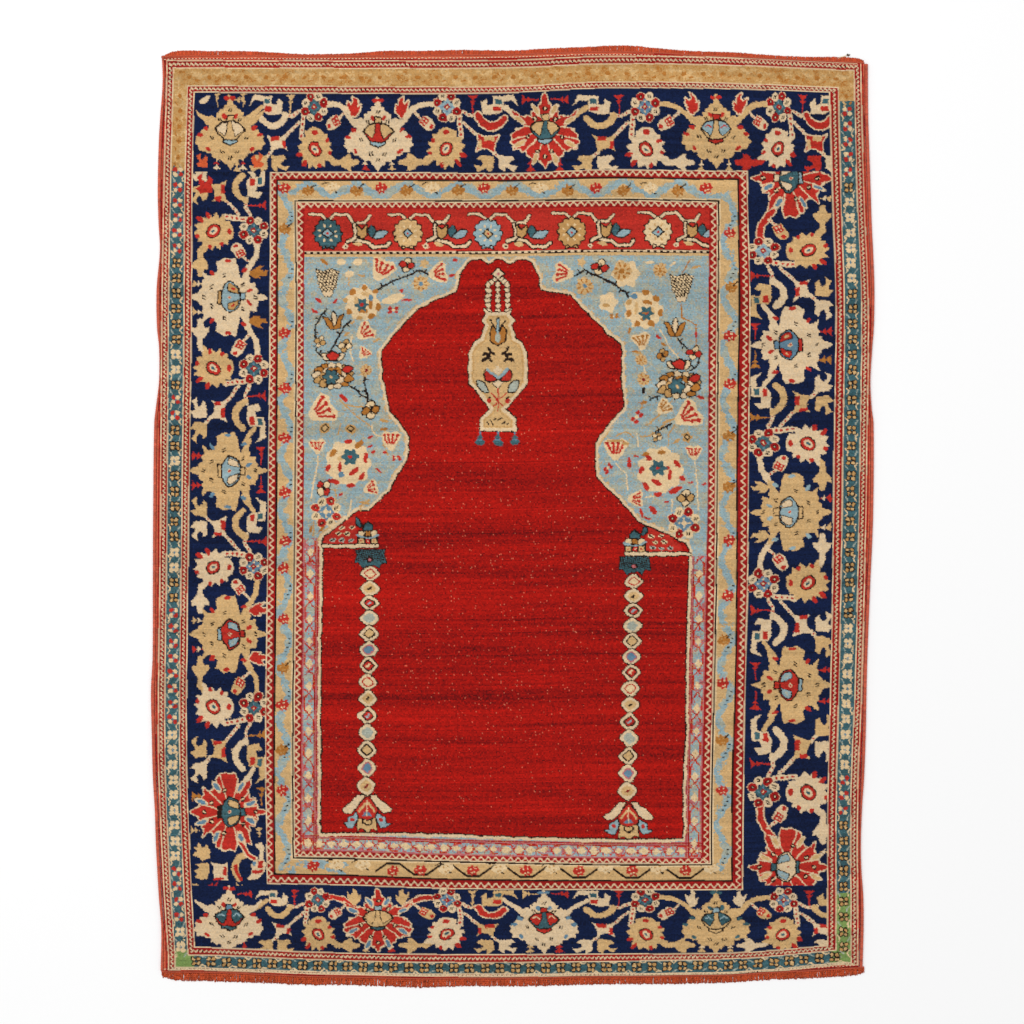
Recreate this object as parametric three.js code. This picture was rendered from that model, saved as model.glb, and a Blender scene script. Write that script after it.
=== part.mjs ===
// An antique knotted-pile prayer rug, lying flat and face up.
// Millimetres, +Z up, +Y towards the point of the arch. The origin is on the floor, under the rug's middle.

import * as THREE from 'three';

// Driving dimensions
const halfWidth = 650; // of the plan that the edge tables bend, out to the overcast edges
const halfLength = 850; // of the same plan, between the two ends
const clothThickness = 5; // ground weave and worn pile together
const pileSwell = 0.35; // how far the worn pile rises and falls
const gap = 0.3; // between neighbouring pieces
const clothColumns = 20; // grid cells across the cloth
const clothRows = 40; // grid cells along it, and sections along each overcast edge

const selvedgeHeight = 4.4; // overcast cord on each long side
const selvedgeLumpiness = 0.06; // share by which the overcasting thickens and thins

const stripWidth = 3; // rooted part of each fringe
const stripHeight = 2.4;
const strandsPerEnd = 136; // warp ends, gathered into locks that stand apart
const strandRootWidth = 5.4;
const strandTipWidth = 3.4;
const strandTipHeight = 1.5;
const strandRaggedness = 1.4; // how much shorter a strand may be than the fringe's outline
const strandSlant = 2.2; // sideways lean of a strand's tip
const cornerSplay = 3; // further lean of the outermost strands
const splayedStrands = 5; // at each corner
const cornerReach = 2; // how far the outermost tips may pass their roots

const loopThickness = 1.6; // thread and tuft, lying on the floor
const threadWidth = 1.5;
const threadFootX = 598;
const threadRise = 8; // of the arch above its foot
const tuftX = 618; // middle of the brown tuft that the thread ends in
const tuftWidth = 9;
const tuftHeight = 8;
const threadSteps = 8;

// Where the long edges run, at stations along the rug: the outer side of each overcast cord, and the width
// that is left of its overcasting, which is worn away in places
const sideStations = [
  { y: 850, left: -646.5, leftWrap: 5, right: 654, rightWrap: 6.5 },
  { y: 800, left: -645, leftWrap: 5, right: 654, rightWrap: 6.5 },
  { y: 740, left: -649, leftWrap: 6, right: 654.5, rightWrap: 6.5 },
  { y: 690, left: -652, leftWrap: 6.5, right: 656, rightWrap: 6.5 },
  { y: 600, left: -654, leftWrap: 6.5, right: 659, rightWrap: 6.5 },
  { y: 540, left: -652.5, leftWrap: 5, right: 661, rightWrap: 6.5 },
  { y: 490, left: -650, leftWrap: 3, right: 663.5, rightWrap: 6.5 },
  { y: 420, left: -656, leftWrap: 6.5, right: 666, rightWrap: 6.5 },
  { y: 350, left: -655.5, leftWrap: 6.5, right: 665, rightWrap: 6 },
  { y: 310, left: -651.5, leftWrap: 3, right: 662, rightWrap: 4.5 },
  { y: 250, left: -651.5, leftWrap: 2.8, right: 658.5, rightWrap: 2.8 },
  { y: 200, left: -657.5, leftWrap: 5.5, right: 661, rightWrap: 3.5 },
  { y: 170, left: -660.5, leftWrap: 6.5, right: 664.5, rightWrap: 6.5 },
  { y: 0, left: -662.5, leftWrap: 6.5, right: 663.5, rightWrap: 6.5 },
  { y: -130, left: -663, leftWrap: 6.5, right: 658, rightWrap: 6.5 },
  { y: -260, left: -663.5, leftWrap: 6.5, right: 653, rightWrap: 6.5 },
  { y: -320, left: -666.5, leftWrap: 7.5, right: 651.5, rightWrap: 6.5 },
  { y: -400, left: -665, leftWrap: 7, right: 650, rightWrap: 6.5 },
  { y: -480, left: -663, leftWrap: 7, right: 647, rightWrap: 6 },
  { y: -540, left: -659.5, leftWrap: 6.5, right: 643, rightWrap: 4 },
  { y: -600, left: -657.5, leftWrap: 6.5, right: 641, rightWrap: 3 },
  { y: -650, left: -655, leftWrap: 6.5, right: 642, rightWrap: 4 },
  { y: -700, left: -652, leftWrap: 6, right: 645.5, rightWrap: 6 },
  { y: -760, left: -647.5, leftWrap: 5, right: 646, rightWrap: 6.5 },
  { y: -850, left: -649, leftWrap: 6, right: 643.5, rightWrap: 6.5 },
];

// Where the ends run, at stations across the rug: the cloth's end and the fringe's tips
const endStations = [
  { x: -650, clothTop: 844.5, tipTop: 846, clothBottom: -836, tipBottom: -846 },
  { x: -620, clothTop: 845.5, tipTop: 857, clothBottom: -836.5, tipBottom: -854 },
  { x: -560, clothTop: 846, tipTop: 857, clothBottom: -837, tipBottom: -855.5 },
  { x: -500, clothTop: 846.5, tipTop: 857, clothBottom: -839, tipBottom: -857.5 },
  { x: -440, clothTop: 846, tipTop: 854.5, clothBottom: -842, tipBottom: -859.5 },
  { x: -390, clothTop: 845.5, tipTop: 851.5, clothBottom: -844.5, tipBottom: -862 },
  { x: -300, clothTop: 846, tipTop: 852.5, clothBottom: -846, tipBottom: -862.5 },
  { x: -240, clothTop: 846.5, tipTop: 857, clothBottom: -847.5, tipBottom: -864.5 },
  { x: -160, clothTop: 847, tipTop: 857.5, clothBottom: -849, tipBottom: -867 },
  { x: -90, clothTop: 847.5, tipTop: 859, clothBottom: -848.5, tipBottom: -864.5 },
  { x: 0, clothTop: 849, tipTop: 858, clothBottom: -848.5, tipBottom: -865 },
  { x: 60, clothTop: 851, tipTop: 861.5, clothBottom: -847, tipBottom: -864 },
  { x: 130, clothTop: 853, tipTop: 864.5, clothBottom: -845.5, tipBottom: -862 },
  { x: 205, clothTop: 853.5, tipTop: 867.5, clothBottom: -845, tipBottom: -861 },
  { x: 260, clothTop: 852, tipTop: 863, clothBottom: -844.5, tipBottom: -861 },
  { x: 320, clothTop: 848.5, tipTop: 857.5, clothBottom: -843.5, tipBottom: -860 },
  { x: 410, clothTop: 844.5, tipTop: 854.5, clothBottom: -842, tipBottom: -857.5 },
  { x: 460, clothTop: 842, tipTop: 850.5, clothBottom: -838.5, tipBottom: -853.5 },
  { x: 540, clothTop: 838, tipTop: 846.5, clothBottom: -834.5, tipBottom: -850.5 },
  { x: 600, clothTop: 835.5, tipTop: 846, clothBottom: -831, tipBottom: -847 },
  { x: 635, clothTop: 834, tipTop: 843.5, clothBottom: -829, tipBottom: -843.5 },
  { x: 650, clothTop: 833, tipTop: 838.5, clothBottom: -828.5, tipBottom: -837.5 },
];

// The value of one column of a table at a place, as a smooth curve through its rows
function tableValue(table, key, column, place) {
  const ascending = table[0][key] < table[table.length - 1][key] ? table : [...table].reverse();
  const last = ascending.length - 1;
  let row = 0;
  while (row < last - 1 && place > ascending[row + 1][key]) row += 1;
  const slope = (from, to) =>
    (ascending[to][column] - ascending[from][column]) / (ascending[to][key] - ascending[from][key]);
  const span = ascending[row + 1][key] - ascending[row][key];
  const t = THREE.MathUtils.clamp((place - ascending[row][key]) / span, 0, 1);
  const startSlope = slope(Math.max(row - 1, 0), row + 1) * span;
  const endSlope = slope(row, Math.min(row + 2, last)) * span;
  const start = ascending[row][column];
  const end = ascending[row + 1][column];
  return (
    start * (1 - t) ** 2 * (1 + 2 * t) +
    startSlope * t * (1 - t) ** 2 +
    end * t ** 2 * (3 - 2 * t) -
    endSlope * t ** 2 * (1 - t)
  );
}

const sideAt = (side, y) => tableValue(sideStations, 'y', side, y);
const endAt = (line, x) => tableValue(endStations, 'x', line, x);

// A place on the cloth from its shares across and along, with all four edges bent
function clothPoint(across, along) {
  const flatX = THREE.MathUtils.lerp(-halfWidth, halfWidth, across);
  const flatY = THREE.MathUtils.lerp(-halfLength, halfLength, along);
  const left = sideAt('left', flatY) + sideAt('leftWrap', flatY) + gap;
  const right = sideAt('right', flatY) - sideAt('rightWrap', flatY) - gap;
  return {
    x: THREE.MathUtils.lerp(left, right, across),
    y: THREE.MathUtils.lerp(endAt('clothBottom', flatX), endAt('clothTop', flatX), along),
  };
}

// A repeatable number from 0 to 1 for a strand or a station
function scatter(index, seed) {
  const value = Math.sin(index * 12.9898 + seed * 78.233) * 43758.5453;
  return value - Math.floor(value);
}

// One closed body from its points and its faces, each a ring of three or four point numbers
function closedBody(points, faces) {
  const geometry = new THREE.BufferGeometry();
  geometry.setAttribute('position', new THREE.Float32BufferAttribute(points.flat(), 3));
  geometry.setIndex(faces.flatMap((f) => (f.length === 4 ? [f[0], f[1], f[2], f[0], f[2], f[3]] : f)));
  geometry.computeVertexNormals();
  return geometry;
}

// The cloth: a slab with bent edges, flat underneath and a little uneven on top
function clothGeometry() {
  const points = [];
  const faces = [];
  for (const top of [0, 1]) {
    for (let row = 0; row <= clothRows; row += 1) {
      for (let column = 0; column <= clothColumns; column += 1) {
        const { x, y } = clothPoint(column / clothColumns, row / clothRows);
        const swell = Math.sin(x / 83 + 1.3) * Math.cos(y / 97) + 0.6 * Math.sin(y / 41 + x / 130);
        points.push([x, y, top ? clothThickness + (pileSwell * (swell - 1.6)) / 1.6 : 0]);
      }
    }
  }
  const width = clothColumns + 1;
  const layer = width * (clothRows + 1);
  const at = (row, column, top) => top * layer + row * width + column;
  for (let row = 0; row < clothRows; row += 1) {
    for (let column = 0; column < clothColumns; column += 1) {
      const ring = (top) => [
        at(row, column, top),
        at(row, column + 1, top),
        at(row + 1, column + 1, top),
        at(row + 1, column, top),
      ];
      faces.push(ring(1), ring(0).reverse());
    }
  }
  const wall = (a, b) => faces.push([a, b, b + layer, a + layer]);
  for (let column = 0; column < clothColumns; column += 1) {
    wall(at(0, column, 0), at(0, column + 1, 0));
    wall(at(clothRows, column + 1, 0), at(clothRows, column, 0));
  }
  for (let row = 0; row < clothRows; row += 1) {
    wall(at(row, clothColumns, 0), at(row + 1, clothColumns, 0));
    wall(at(row + 1, 0, 0), at(row, 0, 0));
  }
  return closedBody(points, faces);
}

// An overcast edge cord: a flat-bottomed oval along one side, a little lumpy
function selvedgeGeometry(side) {
  const sign = side === 'right' ? 1 : -1;
  const section = [
    { out: -0.34, up: 0 },
    { out: 0.34, up: 0 },
    { out: 0.5, up: 0.45 },
    { out: 0.3, up: 1 },
    { out: -0.3, up: 1 },
    { out: -0.5, up: 0.45 },
  ];
  const points = [];
  const faces = [];
  for (let station = 0; station <= clothRows; station += 1) {
    const along = station / clothRows;
    const flatY = THREE.MathUtils.lerp(-halfLength, halfLength, along);
    const { y } = clothPoint(side === 'right' ? 1 : 0, along);
    const wrap = sideAt(`${side}Wrap`, flatY);
    const middle = sideAt(side, flatY) - (sign * wrap) / 2;
    const plump = 1 - selvedgeLumpiness * scatter(station, sign);
    for (const { out, up } of section) {
      points.push([middle + out * wrap * plump, y, up * selvedgeHeight * plump]);
    }
  }
  const size = section.length;
  for (let station = 0; station < clothRows; station += 1) {
    for (let side = 0; side < size; side += 1) {
      const next = (side + 1) % size;
      const low = station * size;
      faces.push([low + side, low + size + side, low + size + next, low + next]);
    }
  }
  const cap = (start, turned) => {
    for (let corner = 1; corner < size - 1; corner += 1) {
      const ring = [start, start + corner, start + corner + 1];
      faces.push(turned ? ring.reverse() : ring);
    }
  };
  cap(0, false);
  cap(clothRows * size, true);
  return closedBody(points, faces);
}

// The straight stretches between grid columns that the cloth's end runs in. sign is 1 at the upper end.
function clothEndAt(x, sign) {
  const corner = (column) => clothPoint(column / clothColumns, sign > 0 ? 1 : 0);
  let column = 0;
  while (column < clothColumns - 1 && x > corner(column + 1).x) column += 1;
  const start = corner(column);
  const end = corner(column + 1);
  const share = THREE.MathUtils.clamp((x - start.x) / (end.x - start.x), 0, 1);
  return THREE.MathUtils.lerp(start.y, end.y, share);
}

// Where a fringe's strip starts and its strands end, at a place across the rug
function fringeLines(x, sign) {
  const inner = clothEndAt(x, sign) + sign * gap;
  return { inner, outer: inner + sign * stripWidth, tip: endAt(sign > 0 ? 'tipTop' : 'tipBottom', x) };
}

// A fringe: a low strip along the cloth's end, and three-sided strands lying on the floor from its outer side
function fringeGeometry(sign) {
  const seed = sign > 0 ? 3 : 7;
  const flatY = sign * halfLength;
  const firstX = sideAt('left', flatY) + strandRootWidth / 2 + gap;
  const lastX = sideAt('right', flatY) - strandRootWidth / 2 - gap;
  const points = [];
  const faces = [];
  const add = (...ring) => faces.push(sign > 0 ? ring.reverse() : ring);
  const perStrand = 8;
  for (let strand = 0; strand < strandsPerEnd; strand += 1) {
    const x = THREE.MathUtils.lerp(firstX, lastX, strand / (strandsPerEnd - 1));
    const { inner, outer, tip } = fringeLines(x, sign);
    const fromCorner = Math.min(strand, strandsPerEnd - 1 - strand);
    const splay = (cornerSplay * Math.max(0, splayedStrands - fromCorner)) / splayedStrands;
    const lean = strandSlant * (scatter(strand, seed) - 0.5) + splay * Math.sign(x);
    const nearLoop = sign > 0 && x > threadFootX - strandRootWidth && x < tuftX + tuftWidth;
    const ragged = nearLoop ? 0 : strandRaggedness * scatter(strand, seed + 1);
    const tipX = THREE.MathUtils.clamp(x + lean, firstX - cornerReach, lastX + cornerReach);
    const tipY = tip - sign * ragged;
    points.push(
      [x, inner, 0],
      [x, inner, stripHeight],
      [x - strandRootWidth / 2, outer, 0],
      [x + strandRootWidth / 2, outer, 0],
      [x, outer, stripHeight],
      [tipX - strandTipWidth / 2, tipY, 0],
      [tipX + strandTipWidth / 2, tipY, 0],
      [tipX, tipY, strandTipHeight],
    );
  }
  for (let strand = 0; strand < strandsPerEnd; strand += 1) {
    const p = strand * perStrand;
    const [floor, top, left, right, crest, tipLeft, tipRight, tipCrest] = Array.from(
      { length: perStrand },
      (_, corner) => p + corner,
    );
    add(left, right, tipRight, tipLeft);
    add(left, tipLeft, tipCrest, crest);
    add(right, crest, tipCrest, tipRight);
    add(tipLeft, tipRight, tipCrest);
    add(floor, right, left);
    if (strand === 0) {
      add(floor, left, crest);
      add(floor, crest, top);
    }
    if (strand === strandsPerEnd - 1) {
      add(floor, crest, right);
      add(floor, top, crest);
      continue;
    }
    const next = perStrand;
    add(floor, floor + next, left + next);
    add(floor, left + next, right);
    add(floor, top, top + next, floor + next);
    add(top, crest, crest + next, top + next);
    add(right, left + next, crest + next, crest);
  }
  return closedBody(points, faces);
}

// The loop of thread at the upper right: an arch that ends in a tuft, as one outline of even thickness
function loopGeometry() {
  const footY = fringeLines(tuftX, 1).tip + gap + 0.5;
  const archEndX = tuftX - tuftWidth / 2;
  const outline = new THREE.Shape();
  const arch = (share, offset) => {
    const angle = Math.PI * (1 - share * 0.72);
    const reach = archEndX + threadWidth - threadFootX;
    return [
      threadFootX + (reach * (1 + Math.cos(angle))) / (1 + Math.cos(Math.PI * 0.28)) + offset * Math.cos(angle),
      footY + (threadRise + offset) * Math.sin(angle),
    ];
  };
  outline.moveTo(...arch(0, threadWidth / 2));
  for (let step = 1; step <= threadSteps; step += 1) outline.lineTo(...arch(step / threadSteps, threadWidth / 2));
  outline.lineTo(archEndX + 2.5, footY + tuftHeight);
  outline.lineTo(tuftX + tuftWidth / 2 - 1, footY + tuftHeight - 1);
  outline.lineTo(tuftX + tuftWidth / 2, footY);
  outline.lineTo(archEndX, footY);
  for (let step = threadSteps - 1; step >= 0; step -= 1) outline.lineTo(...arch(step / threadSteps, -threadWidth / 2));
  return new THREE.ExtrudeGeometry(outline, { depth: loopThickness, bevelEnabled: false });
}

const wool = (colour, roughness) => new THREE.MeshStandardMaterial({ color: colour, roughness, metalness: 0 });

const pieces = [
  { name: 'rug_cloth', geometry: clothGeometry(), material: wool('#8f2a22', 0.95) },
  { name: 'selvedge_left', geometry: selvedgeGeometry('left'), material: wool('#b85640', 0.9) },
  { name: 'selvedge_right', geometry: selvedgeGeometry('right'), material: wool('#c4705a', 0.9) },
  { name: 'fringe_top', geometry: fringeGeometry(1), material: wool('#b04a2e', 0.9) },
  { name: 'fringe_bottom', geometry: fringeGeometry(-1), material: wool('#c4552f', 0.9) },
  { name: 'hanging_loop', geometry: loopGeometry(), material: wool('#6b4a30', 0.85) },
];

const rug = new THREE.Group();
for (const { name, geometry, material } of pieces) {
  const mesh = new THREE.Mesh(geometry, material);
  mesh.name = name;
  rug.add(mesh);
}

export default rug;
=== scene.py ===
"""A knotted-pile prayer rug lying flat on a pale studio floor, seen from straight above.

The rug is charted knot by knot: short functions draw its stripes and flowers on a grid of knots, and each
knot becomes one face of the pile. Chart places are (c, r), squares to the right and squares down, and one
square is 1.84 mm.
"""

import logging
import math
from dataclasses import dataclass, field
from enum import IntEnum

import bpy
import numpy as np
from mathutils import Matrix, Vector

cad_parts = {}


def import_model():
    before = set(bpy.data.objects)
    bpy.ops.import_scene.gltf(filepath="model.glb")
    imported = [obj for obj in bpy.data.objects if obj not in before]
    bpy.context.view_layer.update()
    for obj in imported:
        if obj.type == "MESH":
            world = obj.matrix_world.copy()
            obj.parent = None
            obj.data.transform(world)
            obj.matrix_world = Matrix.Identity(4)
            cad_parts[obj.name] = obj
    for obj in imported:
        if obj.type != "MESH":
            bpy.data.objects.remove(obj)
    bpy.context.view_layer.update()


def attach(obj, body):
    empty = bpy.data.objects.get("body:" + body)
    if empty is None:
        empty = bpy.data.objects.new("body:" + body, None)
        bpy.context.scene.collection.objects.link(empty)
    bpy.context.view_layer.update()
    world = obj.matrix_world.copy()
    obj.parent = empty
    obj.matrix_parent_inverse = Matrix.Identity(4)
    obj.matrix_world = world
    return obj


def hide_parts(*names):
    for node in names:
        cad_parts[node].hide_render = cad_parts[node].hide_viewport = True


LOG = logging.getLogger("prayer_rug")
SQUARE = 0.00184
MIDDLE_C = 512.0
MIDDLE_R = 516.5
MIDDLE_X = -0.0015
KNOTS_ACROSS = 490
KNOTS_ALONG = 740
COLUMNS = 2 * KNOTS_ACROSS
ROWS = 2 * KNOTS_ALONG
BANDS = 5
RIM = 1.35
SEED = 7
OUTER_GUARD_WIDTHS = (-7.6, 7.8, -8.6, 3.2)

Point = tuple[float, float]


class Yarn(IntEnum):
    """The wools of the pile, by name."""

    RED = 0
    NAVY = 1
    GOLD = 2
    IVORY = 3
    SKY = 4
    TEAL = 5
    CRIMSON = 6
    ROSE = 7
    RUST = 8
    SALMON = 9
    TAN = 10
    OCHRE = 11
    DARK = 12
    MAUVE = 13
    GREEN = 14
    MAROON = 15
    CREAM = 16
    SLATE = 17
    MIST = 18
    WORN = 19


@dataclass(frozen=True)
class Dye:
    """One wool's colour as it shows, how far worn it is in metres, and how uneven its tone is."""

    shown: tuple[int, int, int]
    sunk: float = 0.0
    spread: float = 0.1


DYES = {
    Yarn.RED: Dye((151, 17, 9), 0.00015, 0.32),
    Yarn.NAVY: Dye((13, 25, 56), 0.0, 0.3),
    Yarn.GOLD: Dye((194, 158, 108), 0.0, 0.13),
    Yarn.IVORY: Dye((207, 181, 145), 0.0, 0.1),
    Yarn.SKY: Dye((136, 158, 162), 0.0001, 0.14),
    Yarn.TEAL: Dye((56, 88, 94), 0.0, 0.24),
    Yarn.CRIMSON: Dye((146, 22, 20), 0.0, 0.2),
    Yarn.ROSE: Dye((172, 42, 32), 0.0, 0.18),
    Yarn.RUST: Dye((196, 85, 47), 0.0002, 0.12),
    Yarn.SALMON: Dye((196, 92, 64), 0.0002, 0.14),
    Yarn.TAN: Dye((180, 138, 84), 0.0, 0.1),
    Yarn.OCHRE: Dye((162, 104, 44), 0.0, 0.13),
    Yarn.DARK: Dye((34, 21, 16), 0.00065, 0.3),
    Yarn.MAUVE: Dye((172, 96, 98), 0.0, 0.16),
    Yarn.GREEN: Dye((116, 140, 78), 0.0, 0.14),
    Yarn.MAROON: Dye((120, 26, 24), 0.0002, 0.14),
    Yarn.CREAM: Dye((212, 184, 142), 0.0, 0.1),
    Yarn.SLATE: Dye((92, 122, 140), 0.0, 0.12),
    Yarn.MIST: Dye((156, 160, 146), 0.0, 0.14),
    Yarn.WORN: Dye((212, 116, 88), 0.0001, 0.1),
}


class Zone(IntEnum):
    """The stripes and fields, from the outside in."""

    END = 0
    OUTER_GUARD = 1
    OUTER_BORDER = 2
    THIN_GUARD = 3
    MAIN_BORDER = 4
    FIRST_ZIGZAG = 5
    FLOWER_BORDER = 6
    DARK_LINE = 7
    SECOND_ZIGZAG = 8
    INSIDE = 9
    PANEL = 10
    GROUND = 11
    FIELD = 12
    SIDE_BORDER = 13


class Side(IntEnum):
    """The four sides of a border."""

    LEFT = 0
    RIGHT = 1
    TOP = 2
    BOTTOM = 3


def to_linear(shown: tuple[int, int, int]) -> np.ndarray:
    """Turns a colour as shown on a screen into light.

    Args:
        shown: red, green and blue from 0 to 255.

    Returns:
        The three amounts of light, from 0 to 1.
    """
    part = np.asarray(shown, dtype=float) / 255.0
    return np.where(part <= 0.04045, part / 12.92, ((part + 0.055) / 1.055) ** 2.4)


def smooth_through(stations: np.ndarray, values: np.ndarray, places: np.ndarray) -> np.ndarray:
    """A smooth line through uneven stations: a cubic in each span, its slope at a station that of the
    straight line between the two neighbours.

    Args:
        stations: where the values are known, in any order.
        values: one value for each station.
        places: where the line is wanted.

    Returns:
        The line's value at each place.
    """
    order = np.argsort(stations)
    x = np.asarray(stations, dtype=float)[order]
    y = np.asarray(values, dtype=float)[order]
    last = len(x) - 1
    row = np.clip(np.searchsorted(x, places, side="left") - 1, 0, last - 1)
    before = np.maximum(row - 1, 0)
    after = np.minimum(row + 2, last)
    span = x[row + 1] - x[row]
    t = np.clip((places - x[row]) / span, 0, 1)
    start = (y[row + 1] - y[before]) / (x[row + 1] - x[before]) * span
    end = (y[after] - y[row]) / (x[after] - x[row]) * span
    kept = y[row] * (1 - t) ** 2 * (1 + 2 * t) + start * t * (1 - t) ** 2
    return kept + y[row + 1] * t**2 * (3 - 2 * t) - end * t**2 * (1 - t)


SIDE_STATIONS = np.array(
    [
        # y, left edge, left wrap, right edge, right wrap, in millimetres
        (850, -646.5, 5, 654, 6.5),
        (800, -645, 5, 654, 6.5),
        (740, -649, 6, 654.5, 6.5),
        (690, -652, 6.5, 656, 6.5),
        (600, -654, 6.5, 659, 6.5),
        (540, -652.5, 5, 661, 6.5),
        (490, -650, 3, 663.5, 6.5),
        (420, -656, 6.5, 666, 6.5),
        (350, -655.5, 6.5, 665, 6),
        (310, -651.5, 3, 662, 4.5),
        (250, -651.5, 2.8, 658.5, 2.8),
        (200, -657.5, 5.5, 661, 3.5),
        (170, -660.5, 6.5, 664.5, 6.5),
        (0, -662.5, 6.5, 663.5, 6.5),
        (-130, -663, 6.5, 658, 6.5),
        (-260, -663.5, 6.5, 653, 6.5),
        (-320, -666.5, 7.5, 651.5, 6.5),
        (-400, -665, 7, 650, 6.5),
        (-480, -663, 7, 647, 6),
        (-540, -659.5, 6.5, 643, 4),
        (-600, -657.5, 6.5, 641, 3),
        (-650, -655, 6.5, 642, 4),
        (-700, -652, 6, 645.5, 6),
        (-760, -647.5, 5, 646, 6.5),
        (-850, -649, 6, 643.5, 6.5),
    ]
)
END_STATIONS = np.array(
    [
        # x, top of cloth, top of fringe, bottom of cloth, bottom of fringe, in millimetres
        (-650, 844.5, 846, -836, -846),
        (-620, 845.5, 857, -836.5, -854),
        (-560, 846, 857, -837, -855.5),
        (-500, 846.5, 857, -839, -857.5),
        (-440, 846, 854.5, -842, -859.5),
        (-390, 845.5, 851.5, -844.5, -862),
        (-300, 846, 852.5, -846, -862.5),
        (-240, 846.5, 857, -847.5, -864.5),
        (-160, 847, 857.5, -849, -867),
        (-90, 847.5, 859, -848.5, -864.5),
        (0, 849, 858, -848.5, -865),
        (60, 851, 861.5, -847, -864),
        (130, 853, 864.5, -845.5, -862),
        (205, 853.5, 867.5, -845, -861),
        (260, 852, 863, -844.5, -861),
        (320, 848.5, 857.5, -843.5, -860),
        (410, 844.5, 854.5, -842, -857.5),
        (460, 842, 850.5, -838.5, -853.5),
        (540, 838, 846.5, -834.5, -850.5),
        (600, 835.5, 846, -831, -847),
        (635, 834, 843.5, -829, -843.5),
        (650, 833, 838.5, -828.5, -837.5),
    ]
)


@dataclass(frozen=True)
class RugOutline:
    """The bent outline of the cloth, the same as the solid's, in metres."""

    half_width: float = 0.650
    half_length: float = 0.850
    gap: float = 0.0003

    def side(self, column: int, y: np.ndarray) -> np.ndarray:
        """A side's value along the rug.

        Args:
            column: which column of the side table.
            y: places along the rug, in metres.

        Returns:
            The column's value at each place, in metres.
        """
        return smooth_through(SIDE_STATIONS[:, 0], SIDE_STATIONS[:, column], y * 1000) / 1000

    def end(self, column: int, x: np.ndarray) -> np.ndarray:
        """An end's value across the rug.

        Args:
            column: which column of the end table.
            x: places across the rug, in metres.

        Returns:
            The column's value at each place, in metres.
        """
        return smooth_through(END_STATIONS[:, 0], END_STATIONS[:, column], x * 1000) / 1000

    def cloth(self, across: np.ndarray, along: np.ndarray) -> tuple[np.ndarray, np.ndarray]:
        """The place on the cloth at shares across and along it, all four edges bent.

        Args:
            across: 0 at the left edge, 1 at the right.
            along: 0 at the lower end, 1 at the upper.

        Returns:
            x and y, in metres.
        """
        flat_x = self.half_width * (2 * across - 1)
        flat_y = self.half_length * (2 * along - 1)
        left = self.side(1, flat_y) + self.side(2, flat_y) + self.gap
        right = self.side(3, flat_y) - self.side(4, flat_y) - self.gap
        low = self.end(3, flat_x)
        high = self.end(1, flat_x)
        return left + (right - left) * across, low + (high - low) * along


@dataclass(frozen=True)
class Place:
    """Where a motif is drawn: its middle on the chart, and where one step right and one step up go."""

    c: float
    r: float
    right: Point = (1.0, 0.0)
    up: Point = (0.0, -1.0)

    def at(self, u: float, v: float, turn: float = 0.0, size: float = 1.0, flip: bool = False) -> "Place":
        """A place inside this one.

        Args:
            u: steps to the right.
            v: steps up.
            turn: degrees anticlockwise.
            size: how large the new steps are.
            flip: whether left and right change places.

        Returns:
            The new place.
        """
        cos = math.cos(math.radians(turn)) * size
        sin = math.sin(math.radians(turn)) * size
        way = -1.0 if flip else 1.0
        (a, b), (d, e) = self.right, self.up
        right = (way * (cos * a + sin * d), way * (cos * b + sin * e))
        up = (cos * d - sin * a, cos * e - sin * b)
        return Place(self.c + u * a + v * d, self.r + u * b + v * e, right, up)


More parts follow.
